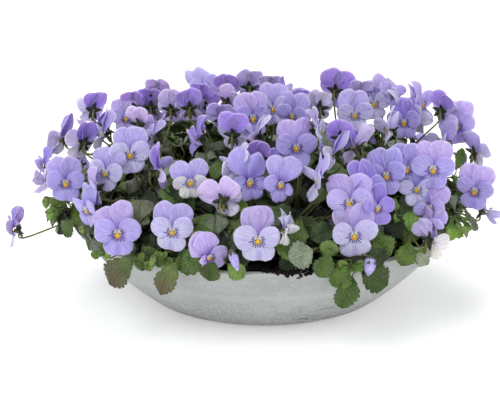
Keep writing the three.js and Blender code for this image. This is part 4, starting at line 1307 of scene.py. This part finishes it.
class PlanterStageSettings(bpy.types.PropertyGroup):
    floor_colour: colour("Floor", "Pale floor", 250, 250, 250)
    key_power: power("Key light", "Power of the large light from the upper left", 20.0)
    fill_power: power("Fill light", "Power of the light from the right", 6.0)
    back_power: power("Back light", "Power of the light from behind and above", 21.0)
    floor_glow: amount("Floor glow", "Light of the floor itself, which keeps it pale far off", 0.3)
    sky_strength: amount("Sky", "Strength of the even light from all round", 0.5)


def tints_of(settings, names):
    """The settings' colours, by the names that the tables give them."""
    return {key: tuple(getattr(settings, name + "_colour"))[:3] for key, name in names.items()}


class PLANTER_OT_bowl(bpy.types.Operator):
    """Turn the shallow cement bowl with its rounded lip"""

    bl_idname = "planter.bowl"
    bl_label = "Cement bowl"

    def execute(self, context):
        settings = context.scene.planter_bowl
        rim, foot, wall = (value / MM for value in (settings.rim_radius, settings.foot_radius, settings.wall))
        lip, top, inner = settings.lip_radius / MM, BOWL_HEIGHT, rim - wall

        def wall_point(share, depth):
            """A point of the bulging wall, at a share of its height and a depth in it."""
            chord = np.array([rim - foot, BOWL_HEIGHT])
            span = np.linalg.norm(chord)
            radius = (span * span / 4 + WALL_BULGE ** 2) / (2 * WALL_BULGE)
            outwards = np.array([chord[1], -chord[0]]) / span
            centre = np.array([foot, 0]) + chord / 2 + outwards * (WALL_BULGE - radius)
            angle = math.atan2(outwards[1], outwards[0]) + math.asin(span / 2 / radius) * (2 * share - 1)
            return centre + (radius - depth) * np.array([math.cos(angle), math.sin(angle)])

        # The wall's section from under the foot round to the inside, without its ends in the middle
        edge = wall_point(0.985, 0)[0]
        rings = [(foot * 0.5, 0), (foot - 3.2, 0), (foot - 1.2, 0.4), (foot + 0.4, 1.5)]
        rings += [wall_point(share, 0) for share in np.linspace(0.04, 0.955, 12)]
        rings += [(edge + 0.2, top - lip - 0.4), (rim - 0.15, top - lip * 0.6), (rim - 0.7, top - 0.25)]
        rings += [(rim - 2.0, top), (inner + 2.0, top), (inner + 0.6, top - 0.4), (inner, top - 1.6)]
        rings += [wall_point(share, wall) for share in (0.86, 0.7, 0.5, 0.3, 0.14)]
        rings.append((foot - 4, wall))
        points = [(0, 0, 0)]
        for radius, height in rings:
            points += [(radius * c, radius * s, height) for c, s in circle(BOWL_SIDES)]
        points.append((0, 0, wall))
        shape = Shape()
        shape.add(points, [(face[0], *face[:0:-1]) for face in closed_faces(len(rings), BOWL_SIDES)])
        shape.piece("bowl", ["pot"], "pot", cement_material(settings))
        return {"FINISHED"}


class PLANTER_OT_soil(bpy.types.Operator):
    """Fill the bowl with crumbly soil that heaps up a little against the front of the rim"""

    bl_idname = "planter.soil"
    bl_label = "Potting soil"

    def execute(self, context):
        settings = context.scene.planter_soil
        largest, heap = settings.crumb / MM / 2, settings.heap / MM
        draw = seeded(SEEDS["soil"])
        shape = Shape()

        def top(x, y):
            """How high the soil lies at a place."""
            far = math.hypot(x, y)
            rough = noise.fractal(Vector((x, y, 3.0)) * 0.09, 0.9, 2.1, 4) * 1.5
            rough += noise.fractal(Vector((x, y, 9.0)) * 0.33, 0.8, 2.0, 3) * 0.9
            around = math.atan2(y, x - HEAP_ASIDE) + math.pi / 2
            front = math.exp(-((around / HEAP_SPREAD) ** 2)) * max(0, min(1, (far - HEAP_START) / HEAP_RISE))
            sink = 2.6 * max(0, (far - 150) / 11) * (1 - front)
            return SOIL_TOP + rough + heap * front - sink

        def add_crumb(middle, half, axes, uneven):
            turn = Matrix.Rotation(6.3 * draw(), 3, (draw() - 0.5, draw() - 0.5, 1))
            axes = [np.array(turn @ Vector(axis)) * half * (0.7 + uneven * draw()) for axis in axes]
            add_ball(shape, np.array(middle), axes, 6, 4)

        points = [(0, 0, top(0, 0))]
        for i in range(1, SOIL_RINGS + 1):
            radius = SOIL_REACH * (i / SOIL_RINGS) ** 0.8
            for c, s in circle(SOIL_SIDES):
                points.append((radius * c, radius * s, top(radius * c, radius * s)))
        points += [(SOIL_FOOT * c, SOIL_FOOT * s, SOIL_BOTTOM) for c, s in circle(SOIL_SIDES)]
        points.append((0, 0, SOIL_BOTTOM))
        shape.add(points, closed_faces(SOIL_RINGS + 1, SOIL_SIDES))
        for i in range(SOIL_CRUMBS):
            around = 2 * math.pi * draw()
            if i % 3 == 0:
                around = -math.pi / 2 + 1.1 * (draw() - 0.5)
            far = CRUMBS_FROM + (CRUMBS_TO - CRUMBS_FROM) * math.sqrt(draw())
            x, y = far * math.cos(around), far * math.sin(around)
            half = largest * (0.35 + 0.65 * draw() ** 2)
            add_crumb([x, y, top(x, y) + half * 0.35], half, ((1, 0, 0), (0, 1, 0), (0, 0, 0.8)), 0.6)
        for i in range(SPILT_CRUMBS):
            across, outwards = draw(), draw()
            x = SPILL[0] + (SPILL[1] - SPILL[0]) * across
            far = RIM_RADIUS - 11 + (13.2 - 5 * (2 * across - 1) ** 2) * outwards
            y = -math.sqrt(far * far - x * x)
            height = BOWL_HEIGHT + 0.6 - max(0, far - RIM_RADIUS + 0.4) * 2.4 * draw()
            half = largest * (0.3 + 0.75 * draw() ** 2)
            add_crumb([x, y, height], half, ((1.3, 0, 0), (0, 1, 0), (0, 0, 0.7)), 0.7)
        shape.piece("potting_soil", ["soil"], "soil", soil_material())
        return {"FINISHED"}


class PLANTER_OT_blooms(bpy.types.Operator):
    """Make every viola bloom, one piece for each bunch"""

    bl_idname = "planter.blooms"
    bl_label = "Viola blooms"

    def execute(self, context):
        settings = context.scene.planter_blooms
        names = dict(P="pink", L="lavender", B="blue", V="violet", W="white", C="cream")
        tints = tints_of(settings, names)
        material = petal_material(settings)
        draw = seeded(SEEDS["blooms"])
        bunches = {}
        for bloom in placed_blooms():
            add_bloom(bunches.setdefault(bloom["node"], Shape()), bloom, tints, draw, settings)
        for node, shape in sorted(bunches.items()):
            shape.piece(node.replace("blooms", "petals"), [node], "petals", material)
        return {"FINISHED"}


def plant_pieces(name, shapes, material):
    """One piece for each plant, in the place of its foliage."""
    for i, shape in enumerate(shapes):
        shape.piece(f"{name}_{i + 1}", [f"foliage_{i + 1}"], "foliage", material)


class PLANTER_OT_leaves(bpy.types.Operator):
    """Make the leaves, one piece for each plant"""

    bl_idname = "planter.leaves"
    bl_label = "Leaves"

    def execute(self, context):
        settings = context.scene.planter_leaves
        names = ("green", "grey", "deep", "young", "rich", "brown")
        tints = tints_of(settings, dict(zip(names, names)))
        plants = crowns()
        shapes = [Shape() for _ in plants]
        draw = seeded(SEEDS["leaves"])
        petiole_tone = np.array(settings.stalk_colour[:3]) * 0.7
        petiole_marks = dict(tone=petiole_tone, blade=(0.5, 0.5, 0), habit=(0, 0, 0))

        fronts = [bloom for bloom in placed_blooms() if abs(bloom["turn"]) < FACES_VIEWER]
        eyes, faces = (np.array([bloom[key] for bloom in fronts]) for key in ("eye", "face"))
        reaches = np.array([BLOOM_REACH * bloom["size"] for bloom in fronts])

        def in_the_way(foot, tip):
            """Whether a leaf hides a bloom that faces the viewer, or lies on soil that shows."""
            for point in (foot, (foot + tip) / 2, tip):
                offset = point - eyes
                ahead = np.sum(offset * faces, axis=1)
                off = np.linalg.norm(offset - ahead[:, None] * faces, axis=1)
                if np.any((ahead > KEPT_CLEAR[0]) & (ahead < KEPT_CLEAR[1]) & (off < reaches)):
                    return True
                x, y = pixel_of(point)
                if any(x0 < x < x1 and y0 < y < y1 for x0, y0, x1, y1 in BARE_SOIL):
                    return True
            return False

        def leaf(foot, tip, outward, width, tone, pick, wear, kind="common"):
            """A leaf on the plant nearest to it, with its stalk, kept out of blooms and rim."""
            if kind != "near":
                if in_the_way(foot, tip):
                    return
                over_rim, inside_rim = BOWL_HEIGHT + 3, RIM_RADIUS - 14
                if math.hypot(tip[0], tip[1]) > inside_rim and tip[2] < over_rim:
                    if math.hypot(foot[0], foot[1]) < inside_rim or foot[2] < BOWL_HEIGHT:
                        return
                    tip = np.array([tip[0], tip[1], over_rim + 4 * pick()])
            plant = nearest_plant(plants, foot)
            add_leaf(shapes[plant], foot, tip, outward, width, tone, pick, wear, kind)
            if kind != "inner":
                root, heading = foot + (plants[plant][0] - foot) * 0.3, unit(tip - foot)
                path = smooth_path([root, foot - heading * 5 - outward * 4, foot + heading * 0.6], 5)
                add_tube(shapes[plant], path, (0.75, 0.7, 0.65, 0.6, 0.5), 4, **petiole_marks)

        for x0, y0, x1, y1, width, inset, tint in SEEN_LEAVES:
            foot = on_dome(FOLIAGE, x0, y0, inset)
            tip = level_with(foot, x1, y1, 0.6)
            outward = unit(out_of_dome(foot) * 0.7 - sight_line(x0, y0)[1])
            wear = 1.0 if tint == "brown" else 0.5 * draw() if tint == "grey" else 0.0
            leaf(foot, tip, outward, width * 1.12, leaf_tone(tints, tint, draw, 0), draw, wear, "near")
        for x, y, count, length, width, inset, tint in SEEN_ROSETTES:
            middle = on_dome(FOLIAGE, x, y, inset)
            outward = out_of_dome(middle)
            across = unit(np.cross(outward, np.array([0.2, 0.1, 1.0])))
            for k in range(count):
                heading = turned(across, outward, math.radians(137.5 * k + 20 * draw()))
                heading = unit(heading + outward * (0.8 * draw() + 0.5 - 0.8 * k / count))
                size = 0.5 + 0.4 * k / count + 0.3 * draw()
                tone = leaf_tone(tints, tint, draw, 0) * (0.7 + 0.3 * k / count)
                normal = unit(outward - heading * (outward @ heading))
                foot, tip = middle + heading * 1.5, middle + heading * length * size * 1.2
                leaf(foot, tip, normal, width * size, tone, draw, 0)
        long, wide = settings.leaf_length / MM, settings.leaf_width / MM
        common = dome_leaves(settings.leaf_count, SEEDS["common"], *LEAF_DEPTHS)
        for place, heading, normal, inset, pick in common:
            kind = pick()
            if kind < 0.14 and inset < 14:
                tint = "young"
            else:
                tint = "grey" if kind < 0.4 else "deep" if kind < 0.58 else "green"
            # Painted shade: the deeper a leaf lies inside the dome, the darker its tone
            tone = leaf_tone(tints, tint, pick, min(1, inset / LEAF_DEPTHS[1]))
            size = 0.75 + 0.45 * pick()
            foot = place - heading * long * size * 0.5
            wear = max(0, pick() - 0.7)
            width = wide * size * (0.85 + 0.4 * pick())
            leaf(foot, foot + heading * long * size, normal, width, tone, pick, wear)
        # Painted shade: large inner leaves deep in the plants, toned down to 0.16 so they read as shade
        # between the leaves
        inner = dome_leaves(INNER_LEAVES, SEEDS["inner"], *INNER_DEPTHS)
        for place, heading, normal, _, pick in inner:
            foot = place - heading * long * 0.8
            tone = leaf_tone(tints, "deep", pick, 0) * 0.16
            leaf(foot, foot + heading * long * 1.7, normal, wide * 2.1, tone, pick, 0, "inner")
        plant_pieces("leaves", shapes, leaf_material(settings))
        return {"FINISHED"}


class PLANTER_OT_stalks(bpy.types.Operator):
    """Make the flower stalks with their sepals, spurs and buds, one piece for each plant"""

    bl_idname = "planter.stalks"
    bl_label = "Flower stalks"

    def execute(self, context):
        settings = context.scene.planter_leaves
        plants = crowns()
        shapes = [Shape() for _ in plants]
        draw = seeded(SEEDS["stalks"])
        stalk = np.array(settings.stalk_colour[:3])
        sepal = np.array(settings.sepal_colour[:3])
        steps = range(STALK_STEPS)
        radii = [settings.stalk_radius / MM * (1.25 - 0.3 * i / (STALK_STEPS - 1)) for i in steps]
        # Painted shade darkens each stalk towards its root inside the plant; its hooked neck behind the bloom
        # is half as bright
        shades = np.array([stalk * (0.5 + 0.5 * min(1, i / 10)) * (1.0 if i < 14 else 0.5) for i in steps])
        spur_tone = stalk * np.array([0.66, 0.62, 0.6])
        for bloom in placed_blooms():
            eye, face, right, above = (bloom[key] for key in ("eye", "face", "right", "up"))
            plant = nearest_plant(plants, eye * 0.8)
            shape = shapes[plant]
            root = inside_core(plants[plant], eye, 0.35 + 0.3 * draw())
            calyx = eye - face * 4.6 + above * 0.8
            flat = unit(np.array([face[0], face[1], 0.0]))
            crook = calyx - flat * 3.4 + UP * 1.2
            below = calyx - flat * 4.6 - UP * 9.0
            far = np.linalg.norm(below - root)
            sway = np.array([draw() - 0.5, draw() - 0.5, 0]) * 0.14 * far
            middle = root * 0.45 + below * 0.55 + UP * 0.06 * far + sway
            path = smooth_path([root, middle, below, crook, calyx], STALK_STEPS)
            add_tube(shape, path, radii, 6, tone=shades)
            spur_foot, spur_tip = eye - face * 1.6 - above * 0.5, calyx - above * 8.0 - face * 3.6
            spur = smooth_path([spur_foot, calyx - above * 3.0 - face, spur_tip], 6)
            add_tube(shape, spur, (1.7, 1.8, 1.7, 1.5, 1.35, 0.8), 7, tone=spur_tone)
            for k in range(5):
                angle = math.radians(90 + 72 * k + 14 * (draw() - 0.5))
                outward = right * math.cos(angle) + above * math.sin(angle)
                back = 0.1 + 0.5 * draw()
                foot = calyx - face * 1.4 - outward * 0.2
                tip = calyx + outward * (7.4 + 1.6 * draw()) - face * 4.8 * back
                add_sepal(shape, foot, tip, -face, 3.9, sepal * (0.8 + 0.6 * draw()), draw)
            axes = (right * 2.6, above * 2.3, face * 2.0)
            add_ball(shape, calyx - face * 0.8, axes, 8, 5, tone=sepal * 0.8)
        for x0, y0, x1, y1, size, tint in SEEN_BUDS:
            foot = on_dome(FOLIAGE, x0, y0, -4)
            tip = level_with(foot, x1, y1)
            plant = nearest_plant(plants, foot)
            shape = shapes[plant]
            root = inside_core(plants[plant], foot, 0.5)
            along = unit(tip - foot)
            bend = root * 0.4 + foot * 0.6 - out_of_dome(foot) * 9
            add_tube(shape, smooth_path([root, bend, foot], 9), [0.75] * 9, 5, tone=stalk * 0.8)
            path = [foot + (tip - foot) * share for share in np.linspace(0, 1, len(BUD_OUTLINE))]
            add_tube(shape, path, [size * r for r in BUD_OUTLINE], 11, tone=srgb(*BUD_TONES[tint]))
            side = unit(np.cross(along, np.array([0.3, -0.9, 0.2])))
            for k in range(5):
                outward = turned(side, along, math.radians(72 * k + 20))
                base = foot - along * size * 0.2 + outward * size * 0.45
                point = base + along * size * 1.5 + outward * size * 0.55
                add_sepal(shape, base, point, outward, size * 0.8, sepal * 3.2, draw)
        plant_pieces("stalks", shapes, stalk_material())
        return {"FINISHED"}


class PLANTER_OT_stage(bpy.types.Operator):
    """Lay the pale floor, hang the soft lights and set the camera at the picture's angle"""

    bl_idname = "planter.stage"
    bl_label = "Stage"

    def execute(self, context):
        settings = context.scene.planter_stage
        scene = context.scene
        mesh = bpy.data.meshes.new("floor")
        far, level = FLOOR_REACH, FLOOR_LEVEL
        corners = [(-far, -far, level), (far, -far, level), (far, far, level), (-far, far, level)]
        mesh.from_pydata(corners, [], [(0, 1, 2, 3)])
        material, nodes, shader = new_material(
            "Pale floor", Roughness=0.9, Emission_Color=(1, 1, 1, 1), Emission_Strength=settings.floor_glow,
        )
        cloud = clouded(nodes, settings.floor_colour[:3], 0.99, 1.0, 3.0, 40.0)[0]
        nodes.feed(shader["Base Color"], cloud)
        mesh.materials.append(material)
        floor = bpy.data.objects.new("floor", mesh)
        scene.collection.objects.link(floor)
        floor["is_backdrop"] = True

        world = bpy.data.worlds.new("Studio")
        world.use_nodes = True
        sky = world.node_tree.nodes["Background"].inputs
        sky["Color"].default_value = (0.97, 0.98, 1.0, 1)
        sky["Strength"].default_value = settings.sky_strength
        scene.world = world

        for name, place, size, key in LIGHTS:
            light = bpy.data.lights.new(name, "AREA")
            light.shape = "DISK"
            light.size = size
            light.energy = getattr(settings, key)
            lamp = bpy.data.objects.new(name, light)
            lamp.location = place
            towards = Vector((0, 0, 0.1)) - Vector(place)
            lamp.rotation_euler = towards.to_track_quat("-Z", "Y").to_euler()
            scene.collection.objects.link(lamp)

        back, up = (Vector(axis) for axis in view_axes())
        right, roll = Vector((1, 0, 0)), math.radians(VIEW_ROLL)
        across = right * math.cos(roll) + up * math.sin(roll)
        upwards = up * math.cos(roll) - right * math.sin(roll)
        camera = bpy.data.cameras.new("Camera")
        camera.sensor_width = 36
        camera.lens = 36 * VIEW_FOCAL / VIEW_SIZE[0]
        camera.clip_end = 50
        holder = bpy.data.objects.new("Camera", camera)
        turn = Matrix((across, upwards, back)).transposed().to_4x4()
        holder.matrix_world = Matrix.Translation((Vector(VIEW_TARGET) + back * VIEW_DISTANCE) * MM) @ turn
        scene.collection.objects.link(holder)
        scene.camera = holder
        scene.view_settings.view_transform = "Standard"
        return {"FINISHED"}


class PLANTER_PT_panel(bpy.types.Panel):
    """Everything the planter is made of"""

    bl_label = "Potted viola planter"
    bl_space_type = "VIEW_3D"
    bl_region_type = "UI"
    bl_category = "Planter"

    def draw(self, context):
        for operator in OPERATORS:
            self.layout.operator(operator.bl_idname, text=operator.bl_label)
        for name in SETTINGS:
            box = self.layout.box()
            group = getattr(context.scene, name)
            for key in group.__annotations__:
                box.prop(group, key)


OPERATORS = (
    PLANTER_OT_bowl,
    PLANTER_OT_soil,
    PLANTER_OT_leaves,
    PLANTER_OT_stalks,
    PLANTER_OT_blooms,
    PLANTER_OT_stage,
)
SETTINGS = {
    "planter_bowl": PlanterBowlSettings,
    "planter_soil": PlanterSoilSettings,
    "planter_blooms": PlanterBloomSettings,
    "planter_leaves": PlanterLeafSettings,
    "planter_stage": PlanterStageSettings,
}
CLASSES = (*SETTINGS.values(), *OPERATORS, PLANTER_PT_panel)


def register():
    for made in CLASSES:
        bpy.utils.register_class(made)
    for name, group in SETTINGS.items():
        setattr(bpy.types.Scene, name, bpy.props.PointerProperty(type=group))


def unregister():
    for name in SETTINGS:
        delattr(bpy.types.Scene, name)
    for made in reversed(CLASSES):
        bpy.utils.unregister_class(made)


def main():
    register()
    bpy.ops.planter.bowl()
    bpy.ops.planter.soil()
    bpy.ops.planter.leaves()
    bpy.ops.planter.stalks()
    bpy.ops.planter.blooms()
    bpy.ops.planter.stage()
    boxes = {"cad": CAD_BOX, "model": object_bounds()}
    {key: [[float(v) for v in corner] for corner in box] for key, box in boxes.items()}


if __name__ == "__main__":
    main()
